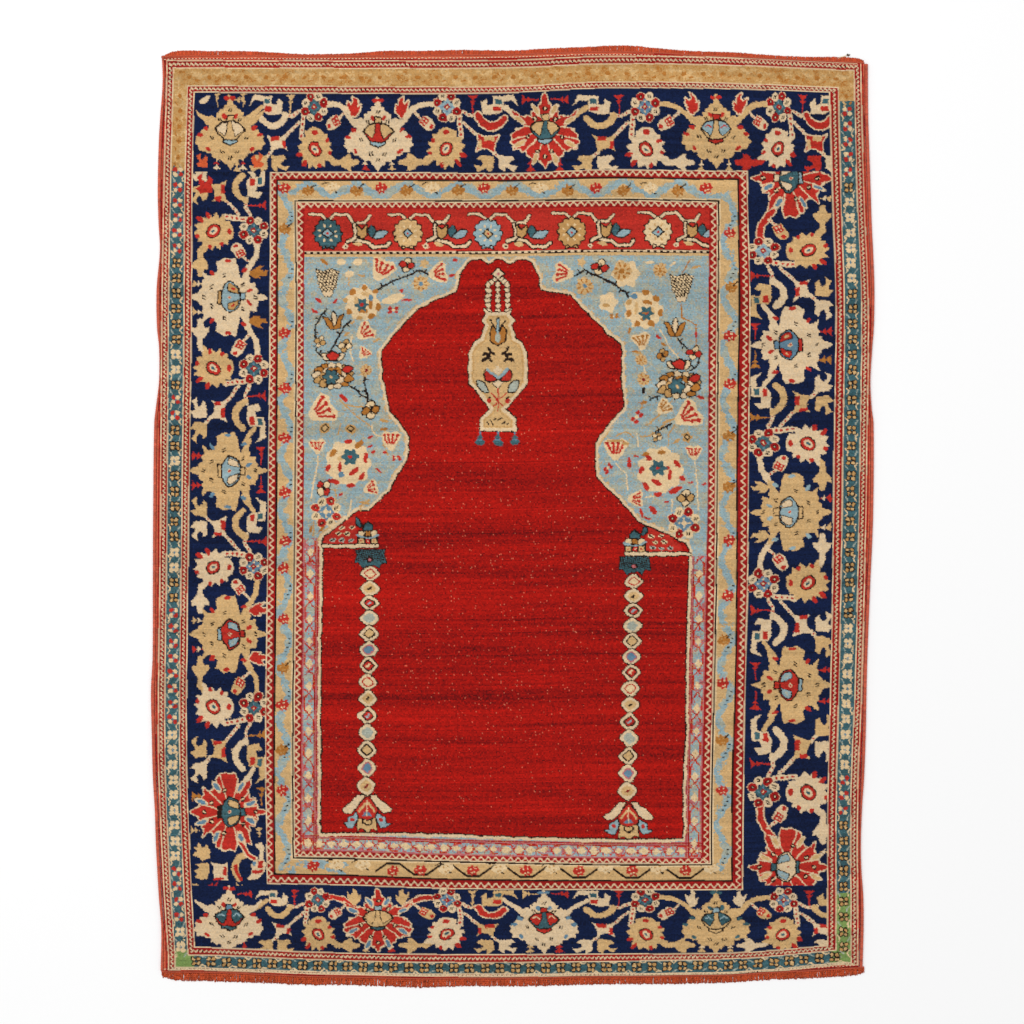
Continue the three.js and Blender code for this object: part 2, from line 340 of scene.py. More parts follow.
class Pen:
    """Draws shapes knot by knot in one window of the chart, in the window's own steps right and up."""

    def __init__(self, yarn: np.ndarray, free: np.ndarray, u: np.ndarray, v: np.ndarray) -> None:
        """Takes views of the chart's arrays.

        Args:
            yarn: the window's knots, which are written to.
            free: which knots may be written.
            u: each knot's steps to the right.
            v: each knot's steps up.
        """
        self.yarn = yarn
        self.free = free
        self.u = u
        self.v = v

    def put(self, where: np.ndarray, yarn: Yarn) -> None:
        """Ties one wool where a mask says.

        Args:
            where: the knots to tie.
            yarn: the wool.
        """
        self.yarn[where & self.free] = yarn

    def shape(self, distance: np.ndarray, yarn: Yarn, edge: Yarn | None = None, rim: float = RIM) -> None:
        """Fills a shape from how far outside it each knot is.

        Args:
            distance: steps outside the shape, negative inside.
            yarn: the wool inside.
            edge: the wool of the outline, if it has one.
            rim: the outline's width.
        """
        if edge is not None:
            self.put(distance < rim, edge)
        self.put(distance < 0, yarn)

    def turned(self, u: float, v: float, turn: float) -> tuple[np.ndarray, np.ndarray]:
        """Steps from a point, in a frame turned anticlockwise.

        Args:
            u: the point's steps right.
            v: the point's steps up.
            turn: degrees.

        Returns:
            Steps along and across the turned frame.
        """
        cos = math.cos(math.radians(turn))
        sin = math.sin(math.radians(turn))
        du = self.u - u
        dv = self.v - v
        return cos * du + sin * dv, cos * dv - sin * du

    def oval_distance(self, u: float, v: float, wide: float, high: float, turn: float = 0.0) -> np.ndarray:
        """Steps outside an oval.

        Args:
            u: its middle's steps right.
            v: its middle's steps up.
            wide: its full width.
            high: its full height.
            turn: degrees anticlockwise.

        Returns:
            The distance of each knot.
        """
        x, y = self.turned(u, v, turn)
        return (np.hypot(2 * x / wide, 2 * y / high) - 1) * min(wide, high) / 2

    def oval(
        self,
        u: float,
        v: float,
        wide: float,
        high: float,
        yarn: Yarn,
        edge: Yarn | None = None,
        turn: float = 0.0,
        rim: float = RIM,
    ) -> None:
        """Draws an oval; see oval_distance and shape for what it takes."""
        self.shape(self.oval_distance(u, v, wide, high, turn), yarn, edge, rim)

    def block(
        self,
        u: float,
        v: float,
        wide: float,
        high: float,
        yarn: Yarn,
        edge: Yarn | None = None,
        turn: float = 0.0,
        rim: float = RIM,
    ) -> None:
        """Draws an upright or turned block; it takes what oval takes."""
        x, y = self.turned(u, v, turn)
        self.shape(np.maximum(np.abs(x) - wide / 2, np.abs(y) - high / 2), yarn, edge, rim)

    def lozenge(
        self,
        u: float,
        v: float,
        wide: float,
        high: float,
        yarn: Yarn,
        edge: Yarn | None = None,
        rim: float = RIM,
    ) -> None:
        """Draws a lozenge; it takes what oval takes."""
        x, y = self.turned(u, v, 0)
        reach = (np.abs(x) / wide + np.abs(y) / high) * 2 - 1
        self.shape(reach * wide * high / 2 / math.hypot(wide, high), yarn, edge, rim)

    def bead(
        self,
        u: float,
        v: float,
        wide: float,
        high: float,
        yarn: Yarn,
        edge: Yarn | None = None,
        rim: float = RIM,
    ) -> None:
        """Draws a shape between a lozenge and an oval; it takes what oval takes."""
        x = np.abs(self.u - u) / wide * 2
        y = np.abs(self.v - v) / high * 2
        self.shape(((x**1.35 + y**1.35) ** (1 / 1.35) - 1) * min(wide, high) / 2, yarn, edge, rim)

    def line_distance(self, points: list[Point]) -> np.ndarray:
        """Steps from a line through points.

        Args:
            points: the line's corners.

        Returns:
            The distance of each knot.
        """
        best = np.full(self.u.shape, 1e9)
        for (u0, v0), (u1, v1) in zip(points, points[1:]):
            du = u1 - u0
            dv = v1 - v0
            t = np.clip(((self.u - u0) * du + (self.v - v0) * dv) / (du * du + dv * dv + 1e-9), 0, 1)
            best = np.minimum(best, np.hypot(self.u - u0 - t * du, self.v - v0 - t * dv))
        return best

    def line(self, points: list[Point], width: float, yarn: Yarn, edge: Yarn | None = None) -> None:
        """Draws a line.

        Args:
            points: its corners.
            width: its full width.
            yarn: its wool.
            edge: its outline's wool, if any.
        """
        self.shape(self.line_distance(points) - width / 2, yarn, edge)

    def leaf(self, start: Point, end: Point, breadth: float, yarn: Yarn, edge: Yarn | None = None) -> None:
        """Draws a leaf pointed at both ends.

        Args:
            start: one end.
            end: the other end.
            breadth: its width in the middle.
            yarn: its wool.
            edge: its outline's wool, if any.
        """
        turn = math.degrees(math.atan2(end[1] - start[1], end[0] - start[0]))
        long = math.hypot(end[0] - start[0], end[1] - start[1])
        x, y = self.turned((start[0] + end[0]) / 2, (start[1] + end[1]) / 2, turn)
        t = np.clip(x / long + 0.5, 0, 1)
        beyond = np.maximum(np.abs(x) - long / 2, 0)
        self.shape(np.abs(y) - breadth / 2 * np.sin(np.pi * t) ** 0.8 + beyond, yarn, edge)

    def area_distance(self, points: list[Point]) -> np.ndarray:
        """Steps outside a closed outline: the distance to its nearest side, negative inside.

        Args:
            points: the outline's corners.

        Returns:
            The distance of each knot.
        """
        inside = np.zeros(self.u.shape, dtype=bool)
        for (u0, v0), (u1, v1) in zip(points, points[1:] + points[:1]):
            if v0 != v1:
                crossing = (v0 > self.v) != (v1 > self.v)
                inside ^= crossing & (self.u < (u1 - u0) * (self.v - v0) / (v1 - v0) + u0)
        distance = self.line_distance(points + points[:1])
        return np.where(inside, -distance, distance)

    def area(self, points: list[Point], yarn: Yarn, edge: Yarn | None = None, rim: float = RIM) -> None:
        """Draws a closed outline; see area_distance and shape for what it takes."""
        self.shape(self.area_distance(points), yarn, edge, rim)

    def flower(
        self,
        u: float,
        v: float,
        radius: float,
        depth: float,
        petals: int,
        yarn: Yarn,
        edge: Yarn | None = None,
        turn: float = 0.0,
    ) -> None:
        """Draws a round flower whose radius rises and falls by depth once a petal."""
        x, y = self.turned(u, v, turn)
        wave = depth * np.cos(petals * np.arctan2(y, x))
        self.shape(np.hypot(x, y) - radius - wave, yarn, edge)


@dataclass(frozen=True)
class Band:
    """One stripe that runs round the rug, knot by knot."""

    inside: np.ndarray
    side: np.ndarray
    across: np.ndarray
    width: np.ndarray
    along: np.ndarray

    def on(self, side: Side) -> np.ndarray:
        """The stripe's knots on one side."""
        return self.inside & (self.side == side)


LEFT_LINES = np.array(
    [
        # r, then the outer c of the outer border, thin guard, main border, zigzag guard, flower border,
        # dark line, zigzag guard and the inside
        (70, 174, 187.5, 195, 270, 278, 294.5, 296, 304.5),
        (190, 171, 184, 192.5, 270, 278, 294.5, 296, 304.5),
        (310, 169, 183.5, 192, 269.5, 278, 295.5, 297, 304),
        (530, 167.5, 181, 189, 267.5, 277, 294, 295.5, 303.5),
        (750, 165.5, 179, 187, 265, 275, 292, 293.5, 301.5),
        (870, 170, 182.5, 191, 266.5, 275.5, 292.5, 294, 301),
        (955, 175.5, 187.5, 195.5, 266.5, 275.5, 292.5, 294, 301),
    ]
)
RIGHT_LINES = np.array(
    [
        # r, then the outer c of the same stripes
        (70, 853.5, 838.5, 828.5, 748, 737, 719.5, 718, 709.5),
        (190, 856.5, 841.5, 832, 748, 737.5, 719.5, 718, 709.5),
        (310, 861, 845, 835.5, 750.5, 738.5, 719, 717.5, 708.5),
        (450, 859.5, 843.5, 833.5, 749, 736.5, 718, 716.5, 708),
        (590, 857, 841.5, 832, 748, 736, 717, 715.5, 706),
        (690, 854.5, 839.5, 830, 745.5, 734.5, 715, 713.5, 704.5),
        (790, 850.5, 837, 827.5, 744, 731.5, 712.5, 711, 701.5),
        (955, 850.5, 836.5, 827, 742.5, 731.5, 712.5, 711, 701.5),
    ]
)
TOP_LINES = np.array(
    [
        # c, then the outer r of the same stripes
        (180, 68.5, 85, 92.5, 172, 181, 200, 201.5, 208.5),
        (400, 69, 86, 94, 172, 181, 200, 201.5, 208.5),
        (510, 68.5, 86, 93, 173, 181.5, 200, 201.5, 208.5),
        (600, 64.5, 81.5, 88.5, 169.5, 178.5, 198.5, 200, 207),
        (720, 65.5, 82.5, 89, 170.5, 180, 200, 201.5, 208.5),
        (845, 71, 87.5, 93, 170.5, 180, 200, 201.5, 208.5),
    ]
)
BOTTOM_LINES = np.array(
    [
        # c, then the outer r of the same stripes
        (200, 967, 955.5, 946.5, 883.5, 873, 858.5, 857, 850.5),
        (330, 971.5, 960.5, 952, 885, 874, 859, 857.5, 851),
        (450, 973.5, 963, 954, 889, 878.5, 862.5, 861, 855),
        (600, 973, 962, 953.5, 890, 880, 865.5, 864, 858),
        (740, 971, 959, 952, 890, 880, 865.5, 864, 858),
        (840, 962, 950.5, 944, 890, 880, 865.5, 864, 858),
    ]
)


class Chart:
    """The chart's cells, four to a knot: where each is, its stripe and its wool. Row 0 is the upper end."""

    def __init__(self, outline: RugOutline) -> None:
        """Lays the knots out on the bent cloth.

        Args:
            outline: the cloth's outline.
        """
        across = (np.arange(COLUMNS) + 0.5) / COLUMNS
        along = 1 - (np.arange(ROWS) + 0.5) / ROWS
        x, y = outline.cloth(across[None, :], along[:, None])
        self.c = (x - MIDDLE_X) / SQUARE + MIDDLE_C
        self.r = MIDDLE_R - y / SQUARE
        self.dice = np.random.default_rng(SEED)
        self.rough = self.stray(1, 0.22) + self.stray(3, 0.45)
        self.drawn_c = self.c + self.stray(1, 0.24) + self.stray(4, 0.34)
        self.drawn_r = self.r + self.stray(1, 0.24) + self.stray(4, 0.34)
        self.c_middle = self.c.mean(axis=0)
        self.r_middle = self.r.mean(axis=1)
        self.yarn = np.full((ROWS, COLUMNS), Yarn.SALMON, dtype=np.uint8)
        self.zone = np.full((ROWS, COLUMNS), Zone.END, dtype=np.uint8)

    def stray(self, wide: int, size: float) -> np.ndarray:
        """How far each knot strays from the drawing, as in weaving by hand: random, smooth over wide knots.

        Args:
            wide: knots from one random value to the next.
            size: the usual stray, in squares.

        Returns:
            One value a cell.
        """
        rough = self.dice.normal(0, size, (KNOTS_ALONG // wide + 2, KNOTS_ACROSS // wide + 2))
        if wide == 1:
            return np.repeat(np.repeat(rough[:KNOTS_ALONG, :KNOTS_ACROSS], 2, axis=0), 2, axis=1)
        row = np.arange(ROWS) / (2 * wide)
        column = np.arange(COLUMNS) / (2 * wide)
        up = rough[row.astype(int)]
        down = rough[row.astype(int) + 1]
        lines = up + (down - up) * (row % 1)[:, None]
        near = lines[:, column.astype(int)]
        far = lines[:, column.astype(int) + 1]
        return (near + (far - near) * (column % 1)) * 1.6

    def lines(self, number: int) -> list[np.ndarray]:
        """One line's place on each side.

        Args:
            number: which line, counted from the outside.

        Returns:
            The left, right, top and bottom place of the line, for every knot.
        """
        outward = OUTER_GUARD_WIDTHS if number == 0 else (0.0, 0.0, 0.0, 0.0)
        column = max(number, 1)
        left = smooth_through(LEFT_LINES[:, 0], LEFT_LINES[:, column], self.r)
        right = smooth_through(RIGHT_LINES[:, 0], RIGHT_LINES[:, column], self.r)
        top = smooth_through(TOP_LINES[:, 0], TOP_LINES[:, column], self.c)
        bottom = smooth_through(BOTTOM_LINES[:, 0], BOTTOM_LINES[:, column], self.c)
        return [line + out for line, out in zip((left, right, top, bottom), outward)]

    def band(self, number: int) -> Band:
        """The stripe between one line and the next one in.

        Args:
            number: the outer line's number.

        Returns:
            The stripe, with its corners parted along their diagonals.
        """
        outer = self.lines(number)
        inner = self.lines(number + 1)
        depth = np.stack([self.c - outer[0], outer[1] - self.c, self.r - outer[2], outer[3] - self.r])
        wide = np.stack([np.abs(a - b) for a, b in zip(outer, inner)])
        side = np.argmin(depth / wide, axis=0)
        across = np.take_along_axis(depth, side[None], 0)[0]
        width = np.take_along_axis(wide, side[None], 0)[0]
        along = np.where(side < 2, self.r, self.c)
        inside = (depth.min(axis=0) >= 0) & (across < width)
        return Band(inside, side, across, width, along)

    def pen(self, place: Place, reach: float, *zones: Zone) -> Pen:
        """A pen for one motif.

        Args:
            place: where the motif is.
            reach: how far it reaches, in its own steps.
            zones: the only stripes it may draw on, or none for all.

        Returns:
            The pen, for the window round the motif.
        """
        (a, b), (d, e) = place.right, place.up
        half = reach * max(math.hypot(a, b), math.hypot(d, e)) + 14
        columns = slice(*np.searchsorted(self.c_middle, (place.c - half, place.c + half)))
        rows = slice(*np.searchsorted(self.r_middle, (place.r - half, place.r + half)))
        dc = self.drawn_c[rows, columns] - place.c
        dr = self.drawn_r[rows, columns] - place.r
        size = a * e - b * d
        zone = self.zone[rows, columns]
        free = np.isin(zone, zones) if zones else np.ones(zone.shape, dtype=bool)
        return Pen(self.yarn[rows, columns], free, (dc * e - dr * d) / size, (dr * a - dc * b) / size)

    def sheet_pen(self, *zones: Zone) -> Pen:
        """A pen for the whole chart, whose steps are c and r themselves.

        Args:
            zones: the only stripes it may draw on, or none for all.

        Returns:
            The pen.
        """
        free = np.isin(self.zone, zones) if zones else np.ones(self.zone.shape, dtype=bool)
        return Pen(self.yarn, free, self.drawn_c, self.drawn_r)


def ripple(along: np.ndarray, period: float, phase: float = 0.0) -> np.ndarray:
    """A zigzag between -1 and 1.

    Args:
        along: places along the stripe.
        period: the length of one zigzag.
        phase: how far it is shifted.

    Returns:
        The zigzag's height at each place.
    """
    return 4 * np.abs((along - phase) / period % 1 - 0.5) - 1


@dataclass
class Stripes:
    """The plain grounds of the nested borders, and their narrow guard stripes."""

    zigzag_period: float = 7.4
    side_border_top: float = 171.5
    side_border_bottom: float = 885.5
    thin_period: float = 4.4

    def weave(self, chart: Chart) -> None:
        """Draws the grounds and guards.

        Args:
            chart: the chart.
        """
        grounds = {
            Zone.OUTER_GUARD: Yarn.CRIMSON,
            Zone.OUTER_BORDER: Yarn.TEAL,
            Zone.THIN_GUARD: Yarn.CRIMSON,
            Zone.MAIN_BORDER: Yarn.NAVY,
            Zone.FIRST_ZIGZAG: Yarn.CRIMSON,
            Zone.FLOWER_BORDER: Yarn.GOLD,
            Zone.DARK_LINE: Yarn.DARK,
            Zone.SECOND_ZIGZAG: Yarn.CRIMSON,
            Zone.INSIDE: Yarn.SKY,
        }
        for zone, yarn in grounds.items():
            left, right, top, bottom = chart.lines(zone - 1)
            inside = (chart.c > left) & (chart.c < right) & (chart.r > top) & (chart.r < bottom)
            chart.zone[inside] = zone
            chart.yarn[inside] = yarn
        between = (chart.r > self.side_border_top) & (chart.r < self.side_border_bottom)
        sides = (chart.zone == Zone.MAIN_BORDER) & between
        chart.zone[sides] = Zone.SIDE_BORDER
        self.thin(chart, chart.band(0))
        self.thin(chart, chart.band(2))
        self.zigzag(chart, chart.band(4), 1.7)
        self.zigzag(chart, chart.band(7), 0.0)
        self.ends(chart)

    def thin(self, chart: Chart, band: Band) -> None:
        """A thin guard: a small ivory zigzag on red between two ivory lines.

        Args:
            chart: the chart.
            band: the stripe.
        """
        height = band.across - band.width * 0.5
        wave = ripple(band.along, self.thin_period) * 0.9
        chart.yarn[band.inside & (np.abs(height - wave) < 0.85)] = Yarn.IVORY
        knots = band.inside & (np.abs(height) < 0.7) & (band.along / self.thin_period % 1 < 0.22)
        chart.yarn[knots] = Yarn.DARK
        rim = (band.across < 1.2) | (band.width - band.across < 1.2)
        chart.yarn[band.inside & rim] = Yarn.IVORY

    def zigzag(self, chart: Chart, band: Band, dark: float) -> None:
        """A zigzag guard: red triangles on both sides of an ivory zigzag.

        Args:
            chart: the chart.
            band: the stripe.
            dark: the width of the dark line on its inner side.
        """
        height = band.across - (band.width - dark) * 0.5
        wave = np.clip(ripple(band.along, self.zigzag_period) * 2.6, -1.6, 1.6)
        chart.yarn[band.inside & (np.abs(height - wave) < 1.0)] = Yarn.IVORY
        chart.yarn[band.inside & (band.across < 1.2)] = Yarn.IVORY
        chart.yarn[band.inside & (band.width - band.across < dark)] = Yarn.DARK

    def ends(self, chart: Chart) -> None:
        """The salmon web outside the borders, with a dotted red line.

        Args:
            chart: the chart.
        """
        left, right, top, bottom = chart.lines(0)
        out = np.stack([left - chart.c, chart.c - right, top - chart.r, chart.r - bottom])
        depth = out.max(axis=0)
        web = chart.zone == Zone.END
        chart.yarn[web & (np.abs(depth - 1.2) < 0.8)] = Yarn.CRIMSON


def mirrored(half: list[Point]) -> list[Point]:
    """A closed outline from its right half, which starts and ends on the middle line.

    Args:
        half: the corners of the right half, from the top down.

    Returns:
        The whole outline.
    """
    return half + [(-u, v) for u, v in reversed(half) if u > 0]


def draw_cluster(pen: Pen, one: Yarn, two: Yarn, heart: Yarn, dot: Yarn = Yarn.CRIMSON) -> None:
    """Eight small round petals round a wide lozenge.

    Args:
        pen: the pen.
        one: the wool of every other petal.
        two: the wool of the petals between.
        heart: the lozenge's wool.
        dot: the wool of its dot.
    """
    for k in range(8):
        angle = (k + 0.5) * math.pi / 4
        u = 11.2 * math.cos(angle)
        v = 11.2 * math.sin(angle)
        plain = k % 2 == 0
        pen.oval(u, v, 8.8, 8.6, one if plain else two, None if plain else one, 0.0, 0.6)
        if plain:
            for step in (-1.0, 1.0):
                pen.line([(u + step - 0.5, v - 1.3), (u + step + 0.5, v + 1.3)], 1.1, Yarn.DARK)
        else:
            pen.oval(u, v, 3.4, 3.2, Yarn.DARK)
            pen.oval(u, v, 1.5, 1.3, one)
    pen.lozenge(0, 0, 17, 17, heart)
    for u, v in ((0, 4.6), (4.6, 0), (0, -4.6), (-4.6, 0)):
        pen.oval(u, v, 2, 2, Yarn.SLATE if heart != Yarn.SLATE else one)
    pen.lozenge(0, 0, 7, 7, dot)
    pen.oval(0, 0, 2.2, 2.2, Yarn.CREAM)


def draw_serrated(pen: Pen, body: Yarn, ring: Yarn, core: Yarn) -> None:
    """A serrated round flower, its blunt lobe up, with a slanting oval eye.

    Args:
        pen: the pen.
        body: the petals' wool.
        ring: the wool round the eye.
        core: the wool in the eye.
    """
    x, y = pen.turned(0, 0, 0)
    angle = np.arctan2(y, x)
    teeth = 1 - np.abs((angle / (2 * np.pi) * 14 + 0.2) % 1 * 2 - 1)
    round_part = np.hypot(x, y) - 15.6 - 4.6 * teeth
    lobe = pen.oval_distance(0, 12, 20, 16)
    spike = pen.oval_distance(-17, -8, 13, 4.4, 25)
    pen.shape(np.minimum(np.minimum(round_part, lobe), spike), body)
    marks = [
        # u, v, length, width, turn
        (-17, -4, 4.5, 4, 0),
        (-14, 8, 4.5, 4, 0),
        (0, 15.5, 7, 4.6, 0),
        (17, -6, 7.5, 4.4, -20),
        (12, -14, 8.5, 4.4, -50),
        (-5, -16.5, 4.5, 4.5, 0),
    ]
    for u, v, long, wide, turn in marks:
        pen.oval(u, v, long, wide, Yarn.ROSE, None, turn)
    pen.oval(0, -0.5, 16.5, 13.6, Yarn.DARK, turn=45)
    pen.oval(0, -0.5, 14.4, 11.4, ring, turn=45)
    pen.oval(0, -0.5, 9.4, 6.4, Yarn.IVORY, turn=45)
    pen.oval(0, -0.5, 4.6, 2.6, core, turn=45)


def draw_three_prongs(pen: Pen, body: Yarn, edge: Yarn | None) -> None:
    """A three-pronged leaf that points up from its stalk.

    Args:
        pen: the pen.
        body: its wool.
        edge: its outline's wool, if any.
    """
    half = [(0, 13), (2.4, 11.5), (3, 6.5), (4.4, 3.2), (8.6, 3.6), (8.2, -0.5), (5.6, -4.5), (3, -7),
        (2.7, -10)]
    pen.area(mirrored([*half, (0, -10)]), body, edge)


def draw_hand(pen: Pen, body: Yarn, edge: Yarn | None = None) -> None:
    """A leaf with three fingers, its wrist at the lower right, 17 wide and 20 tall.

    Args:
        pen: the pen.
        body: its wool.
        edge: its outline's wool, if any.
    """
    outline = [(8, -9), (8, 5), (4.5, 8), (3.6, 4), (0.5, 1), (-2.2, 4), (-1.5, 11.5), (-7.5, 7), (-4.8, 2.6)]
    pen.area([*outline, (-3.4, -2), (-8.6, -3), (-4, -9)], body, edge)


def draw_bud(pen: Pen, leaf: Yarn, tip: Yarn) -> None:
    """A bud that points up: a leaf, a square at its foot with pale dots, and a coloured tip.

    Args:
        pen: the pen.
        leaf: the leaf's wool.
        tip: the wool of the tip and square.
    """
    pen.area(mirrored([(0, 9), (3.6, 8), (5.6, 3), (5.6, -4), (4.2, -8), (0, -8)]), leaf)
    pen.block(0, -3.6, 8.2, 7.6, tip)
    for u, v in ((-1.7, -1.9), (1.7, -1.9), (-1.7, -5.3), (1.7, -5.3)):
        pen.oval(u, v, 1.9, 1.9, Yarn.IVORY)
    pen.oval(0, 6, 4.6, 4, tip)


def draw_flame(pen: Pen, body: Yarn, edge: Yarn | None) -> None:
    """A leaf with five curling points, pointing up.

    Args:
        pen: the pen.
        body: its wool.
        edge: its outline's wool, if any.
    """
    outline = [(-1.6, -9), (-6, -4.5), (-6.2, 3), (-3.2, 0.5), (-3, 8), (2, 11), (0.5, 6), (3.2, 2.5)]
    pen.area([*outline, (6.6, 6.5), (6.2, 0.5), (3.6, -4.5), (1.6, -9)], body, edge)


def draw_tree(pen: Pen, yarn: Yarn, second: Yarn) -> None:
    """A small mark like a fir tree, pointing up, of two triangles and a short trunk.

    Args:
        pen: the pen.
        yarn: its wool.
        second: the wool of its upper triangle.
    """
    pen.line([(0, -6), (0, 6)], 1.3, yarn)
    pen.area([(-5.2, -5.5), (5.2, -5.5), (2.2, -2.6), (0, -0.4), (-2.2, -2.6)], yarn)
    pen.area([(-3.8, 0.2), (3.8, 0.2), (0, 4.4)], second)


def draw_tee(pen: Pen, yarn: Yarn) -> None:
    """A thin stalk that ends in two triangles, pointing up.

    Args:
        pen: the pen.
        yarn: its wool.
    """
    pen.line([(0, -9), (0, 8)], 1.3, yarn)
    pen.area([(0, -1), (3, 3.2), (-3, 3.2)], yarn)
    pen.area([(0, 3.4), (5.4, 8.8), (-5.4, 8.8)], yarn)


def draw_ticks(pen: Pen, places: list[Point], pale: bool) -> None:
    """Pairs of short dark strokes, on both sides of the middle line.

    Args:
        pen: the pen.
        places: each pair's place; those off the middle line are drawn on both sides.
        pale: whether a pale stroke lies between the two.
    """
    for u, v in places:
        for way in (-1, 1) if u else (1,):
            if pale:
                pen.oval(way * u, v, 5.4, 4.6, Yarn.DARK)
                pen.line([(way * (u - 0.5), v - 1), (way * (u + 0.5), v + 1)], 1.4, Yarn.CREAM)
                continue
            for step in (-1.15, 1.15):
                middle = way * u + step
                pen.line([(middle - 0.6 * way, v - 1.3), (middle + 0.6 * way, v + 1.3)], 1.2, Yarn.DARK)


@dataclass(frozen=True)
class Bloom:
    """The wools of one large flower of the main border."""

    body: Yarn
    marks: Yarn
    crescent: Yarn
    lobes: Yarn
    pad: Yarn
    slips: Yarn | None = None
    leaves: Yarn | None = None
    box: Yarn = Yarn.GOLD


@dataclass(frozen=True)
class Tones:
    """The wools of one repeat between two large flowers."""

    stem: Yarn
    round_flower: Yarn
    cup: Yarn
    first_leaf: Yarn
    second_leaf: Yarn
    crescent: Yarn
    half_leaf: Yarn
    tee: Yarn
    heart: Yarn


IV, GO, RO, TE = Yarn.IVORY, Yarn.GOLD, Yarn.ROSE, Yarn.TEAL
OC, SK, SL, TA, DK = Yarn.OCHRE, Yarn.SKY, Yarn.SLATE, Yarn.TAN, Yarn.DARK


